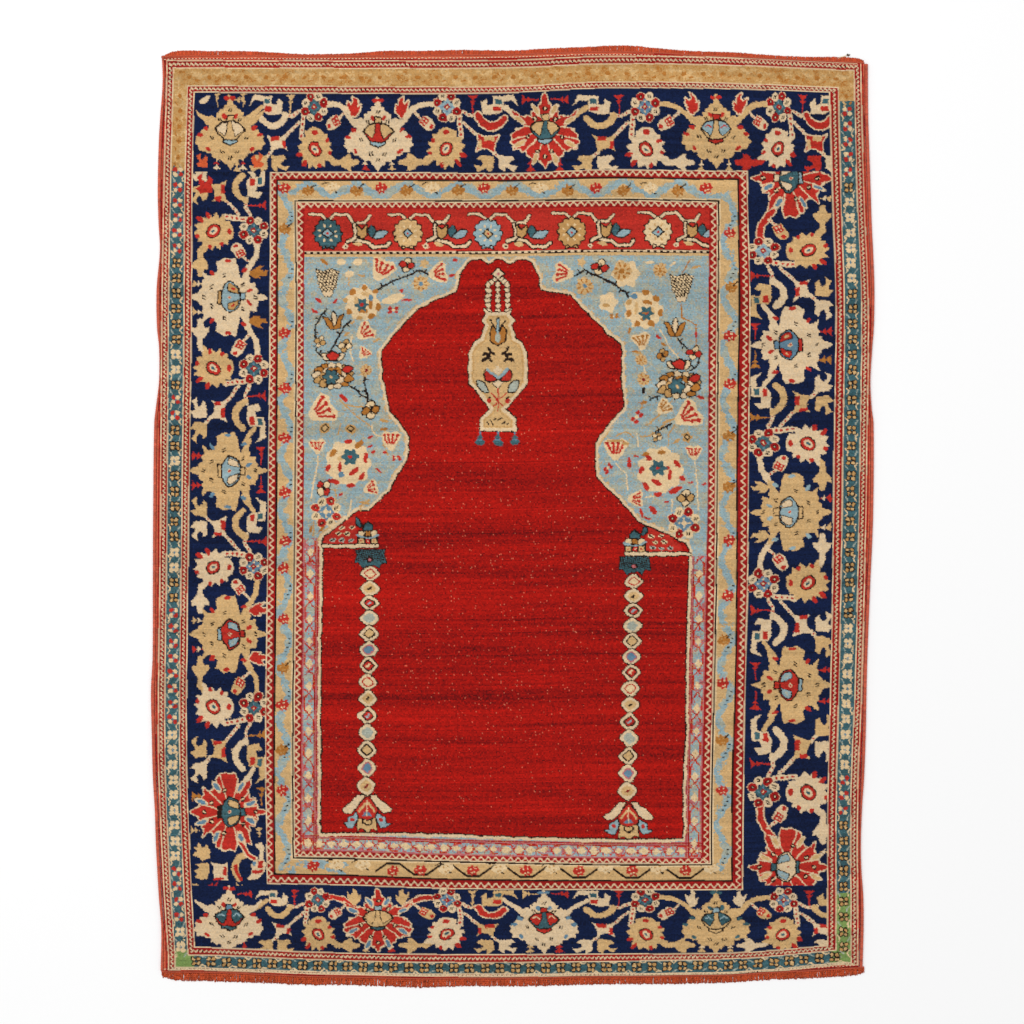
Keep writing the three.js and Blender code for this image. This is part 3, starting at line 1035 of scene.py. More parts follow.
@dataclass
class MainBorder:
    """The wide navy border: large flowers joined by stems with leaves, cups, clusters and round flowers."""

    unit: float = 173.0
    ground: Zone = Zone.MAIN_BORDER

    def weave(self, chart: Chart) -> None:
        """Draws the whole border.

        Args:
            chart: the chart.
        """
        left = ((0.0, 1.0), (1.0, 0.0), 229.8)
        right = ((0.0, 1.0), (-1.1, 0.0), 790.0)
        top = ((1.0, 0.0), (0.0, -1.03), 132.0)
        bottom = ((1.0, 0.0), (0.0, -0.84), 920.5)
        runs = [
            # side, first flower, second flower, then the wools
            (left, 297, 136, Tones(IV, GO, GO, GO, IV, GO, IV, RO, TE)),
            (left, 297, 471, Tones(IV, GO, IV, IV, GO, GO, IV, RO, TE)),
            (left, 634, 471, Tones(GO, IV, IV, IV, GO, GO, IV, RO, SL)),
            (left, 634, 812, Tones(GO, IV, GO, GO, IV, IV, GO, OC, TE)),
            (right, 185, 345, Tones(RO, GO, IV, GO, IV, IV, GO, RO, SK)),
            (right, 512, 345, Tones(IV, IV, GO, GO, IV, GO, IV, OC, TE)),
            (right, 512, 685, Tones(IV, GO, IV, IV, GO, IV, IV, RO, SL)),
            (right, 867, 685, Tones(RO, IV, GO, IV, GO, IV, IV, RO, TE)),
            (top, 378, 224, Tones(IV, GO, IV, GO, GO, IV, IV, GO, TE)),
            (top, 378, 545, Tones(IV, GO, RO, GO, IV, RO, IV, RO, SK)),
            (top, 716, 545, Tones(GO, IV, GO, IV, GO, GO, IV, RO, SL)),
            (top, 716, 868, Tones(GO, IV, RO, RO, IV, RO, IV, RO, TE)),
            (bottom, 378, 232, Tones(RO, GO, IV, GO, GO, GO, IV, RO, TE)),
            (bottom, 378, 545, Tones(RO, IV, GO, GO, IV, RO, GO, GO, SL)),
            (bottom, 716, 545, Tones(GO, GO, IV, GO, IV, GO, IV, RO, TE)),
            (bottom, 716, 880, Tones(GO, GO, IV, IV, GO, GO, GO, RO, SL)),
        ]
        for (along, up, middle), start, end, tones in runs:
            step = (end - start) / self.unit
            self.ground = Zone.MAIN_BORDER if along[0] else Zone.SIDE_BORDER
            if along[0]:
                place = Place(start, middle, (step, 0.0), up)
            else:
                place = Place(middle, start, (0.0, step), up)
            self.repeat(chart, place, tones)
        self.corners(chart)
        self.blooms(chart)

    def spot(self, chart: Chart, place: Place, reach: float = 30) -> Pen:
        """A pen that stays on the navy ground; the two ends keep the corners."""
        return chart.pen(place, reach, self.ground)

    def dotted(self, pen: Pen, points: list[Point], width: float, yarn: Yarn) -> None:
        """A stem with small red dots along it.

        Args:
            pen: the pen.
            points: its corners.
            width: its width.
            yarn: its wool.
        """
        pen.line(points, width, yarn)
        dot = Yarn.IVORY if yarn == Yarn.ROSE else Yarn.ROSE
        for (u0, v0), (u1, v1) in zip(points, points[1:]):
            count = max(int(math.hypot(u1 - u0, v1 - v0) / 4.2), 1)
            for k in range(count):
                t = (k + 0.5) / count
                pen.oval(u0 + (u1 - u0) * t, v0 + (v1 - v0) * t, width * 0.5, width * 0.5, dot)

    def repeat(self, chart: Chart, place: Place, tones: Tones) -> None:
        """One repeat from a large flower to the next.

        Args:
            chart: the chart.
            place: the first flower's place, with steps to the next one and towards the clusters.
            tones: its wools.
        """
        stems = self.spot(chart, place, 180)
        edge = Yarn.IVORY if tones.stem == Yarn.ROSE else None
        stems.line([(28, 16), (34, 20.5), (43, 26), (54, 27.5), (60, 26)], 5.2, tones.stem, edge)
        self.dotted(stems, [(37, 20), (44, 13)], 2.6, Yarn.IVORY)
        stems.line([(30, -30), (50, -29.5), (56, -24)], 5.6, tones.first_leaf)
        self.dotted(stems, [(86, -5), (84, 15)], 5.4, Yarn.IVORY)
        self.dotted(stems, [(89, 9), (104, -4)], 3.2, Yarn.IVORY)
        self.dotted(stems, [(88, 20), (96.5, 15.5), (106.5, 17)], 3.4, Yarn.IVORY)
        self.dotted(stems, [(119, -19), (125, -24)], 3.2, Yarn.IVORY)
        stems.line([(131, 24), (140, 17), (146, 14)], 4.6, tones.second_leaf)
        arc = [(103.5, 15.6), (107.5, 10), (113.6, 5.9), (120.8, 5.6), (126, 8.2), (130.6, 13)]
        stems.line(arc, 6.4, tones.crescent, Yarn.IVORY if tones.crescent == Yarn.ROSE else None)
        draw_three_prongs(self.spot(chart, place.at(34, -29.5, 90)), tones.first_leaf, None)
        draw_bud(self.spot(chart, place.at(50.5, 8.5, -121)), tones.half_leaf, Yarn.ROSE)
        self.cup(stems, tones.cup)
        draw_hand(self.spot(chart, place.at(110.8, -31, 90)), tones.first_leaf)
        draw_hand(self.spot(chart, place.at(134, -31, -90, 1, True)), tones.second_leaf)
        self.half_leaf(stems, tones.half_leaf)
        draw_tee(self.spot(chart, place.at(98.3, 27.2)), tones.tee)
        draw_serrated(self.spot(chart, place.at(70.8, -16)), tones.round_flower, Yarn.ROSE, Yarn.TEAL)
        draw_cluster(self.spot(chart, place.at(71.5, 24.2, 0, 0.98)), Yarn.IVORY, Yarn.CRIMSON, tones.heart)
        second = Yarn.GOLD if tones.tee == Yarn.ROSE else Yarn.ROSE
        draw_tree(self.spot(chart, place.at(14.5, -32.5, 0, 0.85)), second, Yarn.IVORY)
        draw_tree(self.spot(chart, place.at(158, -32.5, 0, 0.95)), tones.tee, tones.tee)
        draw_tee(self.spot(chart, place.at(158, 31.5, 90, 0.95)), tones.tee)

    def cup(self, pen: Pen, body: Yarn) -> None:
        """The cup beside the crescent: a square with hollow sides, flared corners and two red blocks.

        Args:
            pen: the repeat's pen.
            body: its wool.
        """
        outline = [(102.3, -18.8), (104.6, -10), (102.3, -2.4), (110, -5), (119, -4.6), (125.4, -2.6)]
        outline += [(121.4, -10), (120.4, -19.8), (113, -15.6), (107, -15.4)]
        pen.area(outline, body, Yarn.IVORY if body == Yarn.ROSE else None)
        mark = Yarn.GOLD if body == Yarn.ROSE else Yarn.ROSE
        pen.block(105.8, -12.2, 3.8, 7.6, mark)
        pen.block(115.6, -6.6, 10, 4.2, mark)

    def half_leaf(self, pen: Pen, body: Yarn) -> None:
        """The hooked half leaf with a red and a teal square, and its tail.

        Args:
            pen: the repeat's pen.
            body: its wool.
        """
        outline = [(108.5, 17.4), (106.4, 28.4), (112.8, 32.6), (113.4, 26), (119.5, 27.2), (119.5, 34.8)]
        outline += [(130, 35.6), (140, 36), (145.4, 25), (138.6, 30.6), (129.4, 30), (128.4, 20), (122.8, 17)]
        pen.area(outline, body)
        pen.block(123.4, 22.4, 8, 4.6, Yarn.ROSE)
        pen.block(124.6, 30, 6.6, 4.8, Yarn.TEAL)

    def blooms(self, chart: Chart) -> None:
        """The large flowers, over the stems.

        Args:
            chart: the chart.
        """
        down = (0.0, 1.0)
        sides = [
            # middle c, middle r, the way up, then body, marks, crescent, lobes, pad, slips, leaves, box
            (229.8, 297, 1.0, Bloom(IV, RO, SK, TA, TA, None, OC, SK)),
            (229.8, 471, 1.0, Bloom(GO, SL, SK, IV, GO)),
            (229.8, 634, 1.0, Bloom(GO, RO, RO, SK, SK, None, RO, RO)),
            (229.8, 812, 1.0, Bloom(RO, IV, TE, GO, DK, SL, None, TE)),
            (790, 178, -1.04, Bloom(RO, IV, TE, IV, SK, SL, None, IV)),
            (790, 345, -1.04, Bloom(IV, RO, SL, RO, RO, None, None, SL)),
            (790, 512, -1.04, Bloom(GO, SK, SK, IV, GO, None, GO)),
            (790, 685, -1.04, Bloom(GO, RO, RO, SK, SK, None, None, RO)),
            (787, 867, -1.04, Bloom(RO, IV, IV, SK, TE, GO, None, TE)),
        ]
        self.ground = Zone.SIDE_BORDER
        for c, r, up, bloom in sides:
            self.star(chart, Place(c, r, down, (up, 0.0)), bloom)
        ends = [
            # middle c, middle r, size, then the wools
            (230, 132, 1.0, Bloom(GO, RO, GO, IV, SK)),
            (378, 134, 1.0, Bloom(IV, RO, RO, GO, SK, None, RO)),
            (545, 131, 1.0, Bloom(RO, IV, TE, GO, SK, GO)),
            (716, 131, 1.0, Bloom(GO, RO, GO, SK, RO, None, RO, RO)),
            (229, 919, 0.9, Bloom(IV, RO, RO, TE, TE, None, None, SL)),
            (378, 920, 0.86, Bloom(RO, IV, GO, GO, TE, SL, GO, SK)),
            (544, 922, 0.86, Bloom(IV, SL, TE, RO, RO, None, None, RO)),
            (716, 922, 0.86, Bloom(GO, TE, GO, TE, GO, None, IV, SK)),
        ]
        self.ground = Zone.MAIN_BORDER
        for c, r, size, bloom in ends:
            self.palmette(chart, Place(c, r, (1.0, 0.0), (0.0, -size)), bloom)

    def star(self, chart: Chart, place: Place, bloom: Bloom) -> None:
        """An eight-lobed flower with a neck, horns, and a point, of the two long sides.

        Args:
            chart: the chart.
            place: its place.
            bloom: its wools.
        """
        pen = self.spot(chart, place, 48)
        half = [(0, 37), (3.4, 33), (4.4, 28), (10, 27), (14, 25.5), (15, 20), (21, 19.6), (33, 21)]
        half += [(32, 15.5), (24, 13), (19.5, 11), (23, 8.5), (33, 8.5), (38.5, 5), (38.5, -9), (34, -13.5)]
        half += [(27, -13), (22.5, -16), (20.5, -22), (25, -27), (17, -26.5), (10, -28), (5.5, -31), (4, -36)]
        outline = mirrored([*half, (0, -40)])
        self.petals(pen, outline, bloom, 26)
        if bloom.slips is None:
            for u, v, turn in ((0, 20, 0), (27, 14, 70), (24, -17.5, -45), (36, -2, 90), (6.5, 19.5, 60)):
                for way in (-1, 1) if u else ():
                    pen.oval(way * u, v, 6.6, 3.6, bloom.marks, None, way * turn)
        draw_ticks(pen, [(0, 26), (12.5, 13.5), (21, -5.5), (9.5, -18), (0, -26)], bloom.slips is not None)
        if bloom.leaves is not None:
            for way in (False, True):
                side = -24.5 if way else 24.5
                leaf = self.spot(chart, place.at(side, 28, 0, 0.95, way))
                draw_flame(leaf, bloom.leaves, IV if bloom.leaves == RO else None)
        self.star_eye(pen, bloom)

    def palmette(self, chart: Chart, place: Place, bloom: Bloom) -> None:
        """An upright palmette of the two ends, with horns at its shoulders.

        Args:
            chart: the chart.
            place: its place.
            bloom: its wools.
        """
        pen = self.spot(chart, place, 48)
        half = [(0, 37), (3, 35), (4, 28), (8, 23), (13, 19.5), (14, 15.5), (25, 15.5), (34, 22), (29, 12)]
        half += [(20.5, 6), (23, 2.5), (29, 1.5), (33.5, -5), (34, -11), (31, -17.5), (24, -20), (18, -22.5)]
        half += [(16, -27), (7, -28), (4, -33)]
        outline = mirrored([*half, (0, -37)])
        self.petals(pen, outline, bloom, 30)
        if bloom.slips is None:
            marks = ((6, 16, 60), (24, 4, 25), (30, -3, 0), (22, -17, 45), (3, 34, 0))
            for u, v, turn in marks:
                for way in (-1, 1):
                    pen.oval(way * u, v, 6, 3.8, bloom.marks, None, way * turn)
        draw_ticks(pen, [(0, 22), (10, 12.5), (17, -6), (7, -20), (0, -26)], bloom.slips is not None)
        if bloom.leaves is not None:
            for way in (False, True):
                side = -24 if way else 24
                leaf = self.spot(chart, place.at(side, 26.5, 0, 1.0, way))
                draw_flame(leaf, bloom.leaves, IV if bloom.leaves == RO else None)
        self.palmette_eye(pen, bloom)

    def petals(self, pen: Pen, outline: list[Point], bloom: Bloom, teeth: int) -> None:
        """The petals of a large flower: its serrated body and, on the red ones, pale veins and blue slips.

        Args:
            pen: the pen.
            outline: the body's outline.
            bloom: the flower's wools.
            teeth: how many small teeth its edge has.
        """
        angle = np.arctan2(pen.v, pen.u)
        far = pen.area_distance(outline) + 0.7 * np.cos(teeth * angle)
        if bloom.slips is None:
            pen.shape(far, bloom.body)
            return
        pen.put(far < 0.6, Yarn.IVORY)
        pen.put(far < -0.8, bloom.body)
        for k in range(12):
            turn = math.radians(15 + 30 * k)
            near = (12 * math.cos(turn), 12 * math.sin(turn))
            away = (40 * math.cos(turn), 40 * math.sin(turn))
            veins = pen.line_distance([near, away]) < 0.65
            pen.put(veins & (far < 0), Yarn.IVORY)
        for u, v, turn in ((25, 11, 30), (25, -13, -30), (10, -28, -70), (9, 21, 60)):
            for way in (-1, 1):
                pen.oval(way * u, v, 10, 3.8, bloom.slips, Yarn.IVORY, way * turn, 0.9)

    def star_eye(self, pen: Pen, bloom: Bloom) -> None:
        """The middle of a side flower: a box, a wedge between two half moons in a crescent, and a pad.

        Args:
            pen: the pen.
            bloom: the flower's wools.
        """
        pen.block(0, 12.2, 6.4, 5.4, bloom.box, Yarn.DARK, 0, 1.2)
        pen.area([(-6, -7), (-5.4, -11.5), (5.4, -11.5), (6, -7)], bloom.pad, Yarn.DARK)
        round_part = [(0, 9.4), (5, 9.6), (10, 8), (13.6, 3.4), (14.6, -0.6), (13, -2.4), (9, -5.6),
            (5, -7.6)]
        pen.area(mirrored([*round_part, (0, -7.8)]), bloom.crescent, Yarn.DARK)
        for way in (-1, 1):
            moon = [(3.4, 8.6), (8.6, 7.4), (11.8, 3.6), (12.4, 0), (10, -1.6), (6.6, -1.4), (5.2, 2.8)]
            pen.area([(way * u, v) for u, v in moon], bloom.lobes, Yarn.DARK, 0.9)
            if bloom.lobes in (Yarn.ROSE, Yarn.TAN, Yarn.SKY):
                inner = {Yarn.ROSE: Yarn.GOLD, Yarn.TAN: Yarn.ROSE, Yarn.SKY: Yarn.MIST}[bloom.lobes]
                pen.oval(way * 8.4, 3.2, 4.6, 2.2, inner, None, way * -50)
        pen.lozenge(0, -0.4, 4.6, 4.6, Yarn.IVORY)
        pen.lozenge(0, -0.4, 2.6, 2.6, Yarn.ROSE)

    def palmette_eye(self, pen: Pen, bloom: Bloom) -> None:
        """The middle of an end flower: a box on a wide bowl with two side lobes, and a pad below.

        Args:
            pen: the pen.
            bloom: the flower's wools.
        """
        pen.block(0, 13.4, 5.6, 5.4, bloom.box, Yarn.DARK, 0, 1.2)
        pen.area([(-6.2, -7.4), (-6.8, -9.6), (0, -12.6), (6.8, -9.6), (6.2, -7.4)], bloom.pad, Yarn.DARK)
        bowl = [(0, 10.4), (4, 10.2), (9, 8.6), (13, 5), (14.6, 2.2), (12, -1), (8.6, -5), (5.4, -7.2)]
        pen.area(mirrored([*bowl, (0, -7.4)]), bloom.crescent, Yarn.DARK)
        for way in (-1, 1):
            lobe = [(2.4, 10), (8, 8.8), (12.2, 5.4), (13.8, 2.4), (9.4, -1), (5.6, -4), (3.4, 2)]
            pen.area([(way * u, v) for u, v in lobe], bloom.lobes, Yarn.DARK, 0.9)
            if bloom.lobes in (Yarn.ROSE, Yarn.TEAL, Yarn.SKY):
                inner = {Yarn.ROSE: Yarn.CREAM, Yarn.TEAL: Yarn.SKY, Yarn.SKY: Yarn.ROSE}[bloom.lobes]
                pen.line([(way * 4.6, 3.4), (way * 7.4, 6.2), (way * 10.6, 4.4)], 1.2, inner)

    def corners(self, chart: Chart) -> None:
        """The small leaves and marks that only the corners have.

        Args:
            chart: the chart.
        """
        self.ground = Zone.MAIN_BORDER
        pen = self.spot(chart, Place(228, 132), 60)
        pen.leaf((-28, 28), (-18, 36), 6, Yarn.IVORY)
        for u in (-11, 15.6):
            draw_tee(self.spot(chart, Place(228 + u, 100).at(0, 0, 0, 0.75)), Yarn.GOLD)
            draw_tree(self.spot(chart, Place(227.6 + u, 164.6).at(0, 0, 0, 0.8)), Yarn.IVORY, Yarn.ROSE)
        draw_hand(self.spot(chart, Place(201.7, 161).at(0, 0, 0, 0.7)), Yarn.RUST)
        draw_hand(self.spot(chart, Place(258, 161).at(0, 0, 0, 0.7, True)), Yarn.RUST)
        self.lower_left(chart)

    def lower_left(self, chart: Chart) -> None:
        """The leaves, cup and hooks that fill the lower end of the left side.

        Args:
            chart: the chart.
        """
        self.ground = Zone.SIDE_BORDER
        for c, r, turn in ((195.5, 830, -90), (259, 832, 180)):
            draw_tree(self.spot(chart, Place(c, r).at(0, 0, turn, 0.8)), Yarn.GOLD, Yarn.GOLD)
        pen = self.spot(chart, Place(228, 862), 60)
        upper = [(-35, 15), (-31, 14), (-29.6, 19.4), (-25, 14.5), (-21.6, 18.4), (-17.6, 12), (-18, 4),
            (-25, 1.6)]
        pen.area([*upper, (-30, 5), (-35.4, 6.6), (-30.6, 10.6)], Yarn.GOLD)
        lower = [(-26, -0.6), (-18.6, -1.6), (-18.6, -8), (-21, -17), (-27, -17.5), (-33.6, -14.6),
            (-30, -12.6)]
        pen.area([*lower, (-34, -9), (-28.6, -6), (-33, -2)], Yarn.GOLD)
        cup = [(-16, 0.6), (-12, -2), (-6, -2), (0, 0.8), (0, -18.6), (-7, -18.6), (-14.6, -17.6), (-14, -6)]
        pen.area(cup, Yarn.IVORY)
        pen.block(-2.6, -9, 3.4, 9, Yarn.ROSE)
        pen.block(-9.6, -16.8, 10, 2.6, Yarn.ROSE)
        pen.line([(18, 7), (11, 5), (7.4, -1), (7, -10), (11, -16.5)], 6.6, Yarn.GOLD)
        pen.line([(7.6, -4), (8.4, -11), (13, -17)], 3.6, Yarn.ROSE)
        hook = [(27, 18.5), (33, 19.5), (36.4, 15), (36, 3), (38, -2), (37, -10), (30, -17), (20, -18),
            (19, -16)]
        pen.area([*hook, (24, -12), (23.6, -4), (26, 0), (31.4, 3), (31.5, 12), (27, 16)], Yarn.IVORY)
        pen.block(32.8, -2.6, 5, 7, Yarn.ROSE)
        pen.line([(26, -10.4), (34, -9)], 3.6, Yarn.ROSE)
        pen.oval(26.6, -1.6, 3.4, 6, Yarn.SLATE)
        pen.line([(13, 20), (19, 8), (27, 3)], 3.2, Yarn.ROSE, Yarn.IVORY)
        draw_tree(self.spot(chart, Place(755, 100).at(0, 0, 180, 0.9)), Yarn.ROSE, Yarn.ROSE)
        self.spot(chart, Place(798, 169)).leaf((-5, 5), (6, -7), 5.5, Yarn.ROSE, Yarn.IVORY)
        draw_tree(self.spot(chart, Place(213, 886).at(0, 0, 90, 0.9)), Yarn.ROSE, Yarn.ROSE)
        draw_tree(self.spot(chart, Place(241, 887).at(0, 0, -90, 0.9)), Yarn.GOLD, Yarn.GOLD)
        self.spot(chart, Place(198, 887)).leaf((-6, 3), (5, -5), 7, Yarn.GOLD)
        self.ground = Zone.SIDE_BORDER
        draw_hand(self.spot(chart, Place(204, 184)), Yarn.ROSE)


@dataclass
class OuterBorder:
    """The outer border: gold with hooks along the upper end, teal with small petal clusters elsewhere."""

    pitch: float = 15.2

    def weave(self, chart: Chart) -> None:
        """Draws the border.

        Args:
            chart: the chart.
        """
        band = chart.band(1)
        fade = 168 + 3 * np.sin(chart.c)
        fade = np.where(chart.c > 512, 101.0, fade)
        chart.yarn[band.inside & (chart.r < fade)] = Yarn.TAN
        chart.yarn[band.inside & (chart.r < fade) & (chart.rough > 0.45)] = Yarn.GOLD
        brown = chart.rough + chart.dice.random(chart.yarn.shape) * 1.6 < -0.1
        chart.yarn[band.inside & (chart.r < fade) & brown] = Yarn.OCHRE
        side_low = (chart.r > np.where(chart.c < 512, 950, 893)) & (band.side < 2)
        low = side_low | (band.side == Side.BOTTOM) & (np.abs(chart.c - 512) > 318)
        chart.yarn[band.inside & low] = Yarn.GREEN
        for c in np.arange(190, 850, 19.0):
            row = int(np.searchsorted(chart.r_middle, 76))
            column = int(np.searchsorted(chart.c_middle, c))
            r = 77 + self.lift(chart, row, column)
            self.gold_mark(chart, Place(c, r), 1)
        for side, sign in ((Side.LEFT, 1), (Side.RIGHT, -1)):
            lines = LEFT_LINES if side == Side.LEFT else RIGHT_LINES
            for k, r in enumerate(np.arange(96, 952, self.pitch)):
                middle = np.interp(r, lines[:, 0], (lines[:, 1] + lines[:, 2]) / 2)
                place = Place(middle, r, (0.0, 1.0), (float(sign), 0.0))
                if r < (168 if side == Side.LEFT else 101):
                    self.gold_mark(chart, place, 1)
                else:
                    self.petals(chart, place, self.tone(side, r), k)
        for k, c in enumerate(np.arange(196, 842, self.pitch)):
            middle = np.interp(c, BOTTOM_LINES[:, 0], (BOTTOM_LINES[:, 1] + BOTTOM_LINES[:, 2]) / 2)
            self.petals(chart, Place(c, middle), "gold", k)

    def lift(self, chart: Chart, row: int, column: int) -> float:
        """How far the upper border lies off its usual place at one column."""
        return float(np.interp(chart.c[row, column], TOP_LINES[:, 0], TOP_LINES[:, 1])) - 68.5

    def tone(self, side: Side, r: float) -> str:
        """The wools of the petals at one place.

        Args:
            side: which side.
            r: the place along it.

        Returns:
            Either red, cream or gold.
        """
        if side == Side.LEFT:
            turns = ((250, "red"), (350, "gold"), (375, "cream"), (395, "gold"), (420, "red"), (455, "gold"))
            turns += ((472, "cream"), (547, "gold"), (570, "cream"), (600, "gold"), (672, "red"),
                (730, "red"))
            turns += ((862, "cream"), (920, "red"), (999, "cream"))
        else:
            turns = ((180, "red"), (192, "gold"), (290, "cream"), (625, "gold"), (772, "cream"), (820, "red"))
            turns += ((999, "gold"),)
        return next(name for end, name in turns if r < end)

    def petals(self, chart: Chart, place: Place, tone: str, number: int) -> None:
        """Four small petals and a slanting hook.

        Args:
            chart: the chart.
            place: the cluster's place.
            tone: red, cream or gold.
            number: the cluster's number, for the hook's way.
        """
        pen = chart.pen(place, 12, Zone.OUTER_BORDER)
        way = 1 if number % 2 else -1
        pen.line([(3.2, way * 6), (6.4, way * 3.6), (9.6, way * 5.2)], 1.2, Yarn.CREAM)
        pen.line([(5.4, -way * 5.6), (9.4, -way * 3.4)], 1.1, Yarn.MIST)
        wools = {
            "red": (Yarn.ROSE, Yarn.CREAM, None, 4.4),
            "cream": (Yarn.CREAM, Yarn.CREAM, None, 4.7),
            "gold": (Yarn.TAN, Yarn.GOLD, Yarn.DARK, 3.3),
        }
        one, two, edge, size = wools[tone]
        for k, (u, v) in enumerate(((-2.35, -2.35), (2.35, 2.35), (-2.35, 2.35), (2.35, -2.35))):
            pen.oval(u, v, size, size, one if k < 2 else two, edge, 0.0, 1.0)
        if edge is None:
            pen.line([(-1.2, 0), (1.2, 0)], 1.2, Yarn.SLATE)

    def gold_mark(self, chart: Chart, place: Place, way: int) -> None:
        """An ochre blotch with a pale hook, on the gold part.

        Args:
            chart: the chart.
            place: its place.
            way: which way the hook points.
        """
        pen = chart.pen(place, 12, Zone.OUTER_BORDER)
        pen.oval(0, 0, 5, 4.2, Yarn.OCHRE)
        pen.line([(5, way * 4), (8, way * 1.5), (10, way * 3)], 1.6, Yarn.GOLD)
        pen.line([(6, -way * 4), (9, -way * 3)], 1.6, Yarn.OCHRE)


@dataclass
class FlowerBorder:
    """The inner border of gold ground: a winding blue vine, small flowers, and dark bows at the bottom."""

    period: float = 53.0
    upper_reds: tuple[float, ...] = (284, 381, 484, 596, 706)

    def weave(self, chart: Chart) -> None:
        """Draws the border.

        Args:
            chart: the chart.
        """
        band = chart.band(5)
        middle = band.across - band.width / 2
        stretched = np.interp(chart.c, self.upper_reds, np.arange(5) * 2.0) * self.period
        phases = {Side.LEFT: 5, Side.RIGHT: 30, Side.TOP: 0, Side.BOTTOM: 473}
        for side, phase in phases.items():
            along = stretched if side == Side.TOP else band.along
            wave = ripple(along, self.period, phase) * (band.width / 2 - 2.5)
            near = band.on(side) & (np.abs(middle - wave) < 4.2 + chart.rough * 2.8)
            if side == Side.BOTTOM:
                bow = -np.clip(ripple(band.along, self.period, phase) * 1.9, -1, 1) * 5
                dark = band.on(side) & (np.abs(middle - bow) < 1.3) & (chart.c > 375) & (chart.c < 735)
                chart.yarn[dark] = Yarn.DARK
                chart.yarn[near & (chart.c < 350) & (chart.rough > 0)] = Yarn.SKY
            else:
                chart.yarn[near] = Yarn.SKY
                chart.yarn[near & (chart.rough > 0.4)] = Yarn.MIST
                dash = (along / 4.4 % 1 < 0.3) & (along / self.period % 1 < 0.3) & (side != Side.TOP)
                chart.yarn[near & dash & (np.abs(middle - wave) < 1.2)] = Yarn.DARK
        chart.yarn[band.inside & (band.width - band.across < 1.2)] = Yarn.CREAM
        sides = [
            # middle c, middle r, then whether the flower is red
            (285, 229, 0), (284, 333, 1), (285, 388, 1), (285, 438, 1), (285, 492, 1), (285, 541, 1),
            (284, 568, 1), (284, 619, 1), (283, 668, 0), (283, 705, 1), (282, 750, 0), (282, 790, 1),
            (730, 233, 1), (731, 287, 0), (730, 336, 1), (730, 384, 1), (729, 436, 0), (729, 487, 0),
            (729, 540, 1), (728, 596, 1), (724, 640, 0), (723, 683, 1), (722, 740, 0), (722, 790, 1),
            (313.5, 866, 1), (393, 871, 1),
        ]  # fmt: skip
        for c, r, red in sides:
            self.flower(chart, c, r, red)
        for k in range(17):
            c = float(np.interp(k / 4, range(5), self.upper_reds))
            self.flower(chart, c, 188 + 2.5 * (k % 2), (1, 0, 2, 0)[k % 4])
        for k in range(12):
            c = 420 + 26.5 * k
            self.flower(chart, c, 870.6 - 2 * (k % 2), 2 if k % 2 else 1)
        for c in (337, 363):
            self.flower(chart, c, 865, 2)

    def flower(self, chart: Chart, c: float, r: float, kind: int) -> None:
        """One small uneven flower with pale dots.

        Args:
            chart: the chart.
            c: the column of its middle.
            r: the row of its middle.
            kind: 0 for an ochre flower, 1 for a red one, 2 for a pale one.
        """
        pen = chart.pen(Place(c, r), 12, Zone.FLOWER_BORDER)
        looks = ((13, Yarn.OCHRE, Yarn.TAN), (12.4, Yarn.ROSE, Yarn.CREAM), (16, Yarn.CREAM, Yarn.TAN))
        wide, wool, dots = looks[kind]
        pen.flower(0, 0, 5.2, 1.0, 7, wool)
        pen.oval(0, 0, wide, 7.6, wool, None, 8)
        for u, v in ((-2.8, 1.2), (1.8, -1.8), (1.2, 2.4), (-0.6, -2.6)):
            pen.oval(u, v, 1.9, 1.6, dots)
        if kind == 0:
            pen.line([(2.5, 2.5), (7, 6)], 1.3, Yarn.DARK)
        if kind == 2:
            pen.line([(-10.5, 3.4), (-8, 5), (-5, 5)], 1.2, Yarn.DARK)
            pen.line([(2.5, -4), (4.5, -5)], 1.4, Yarn.DARK)


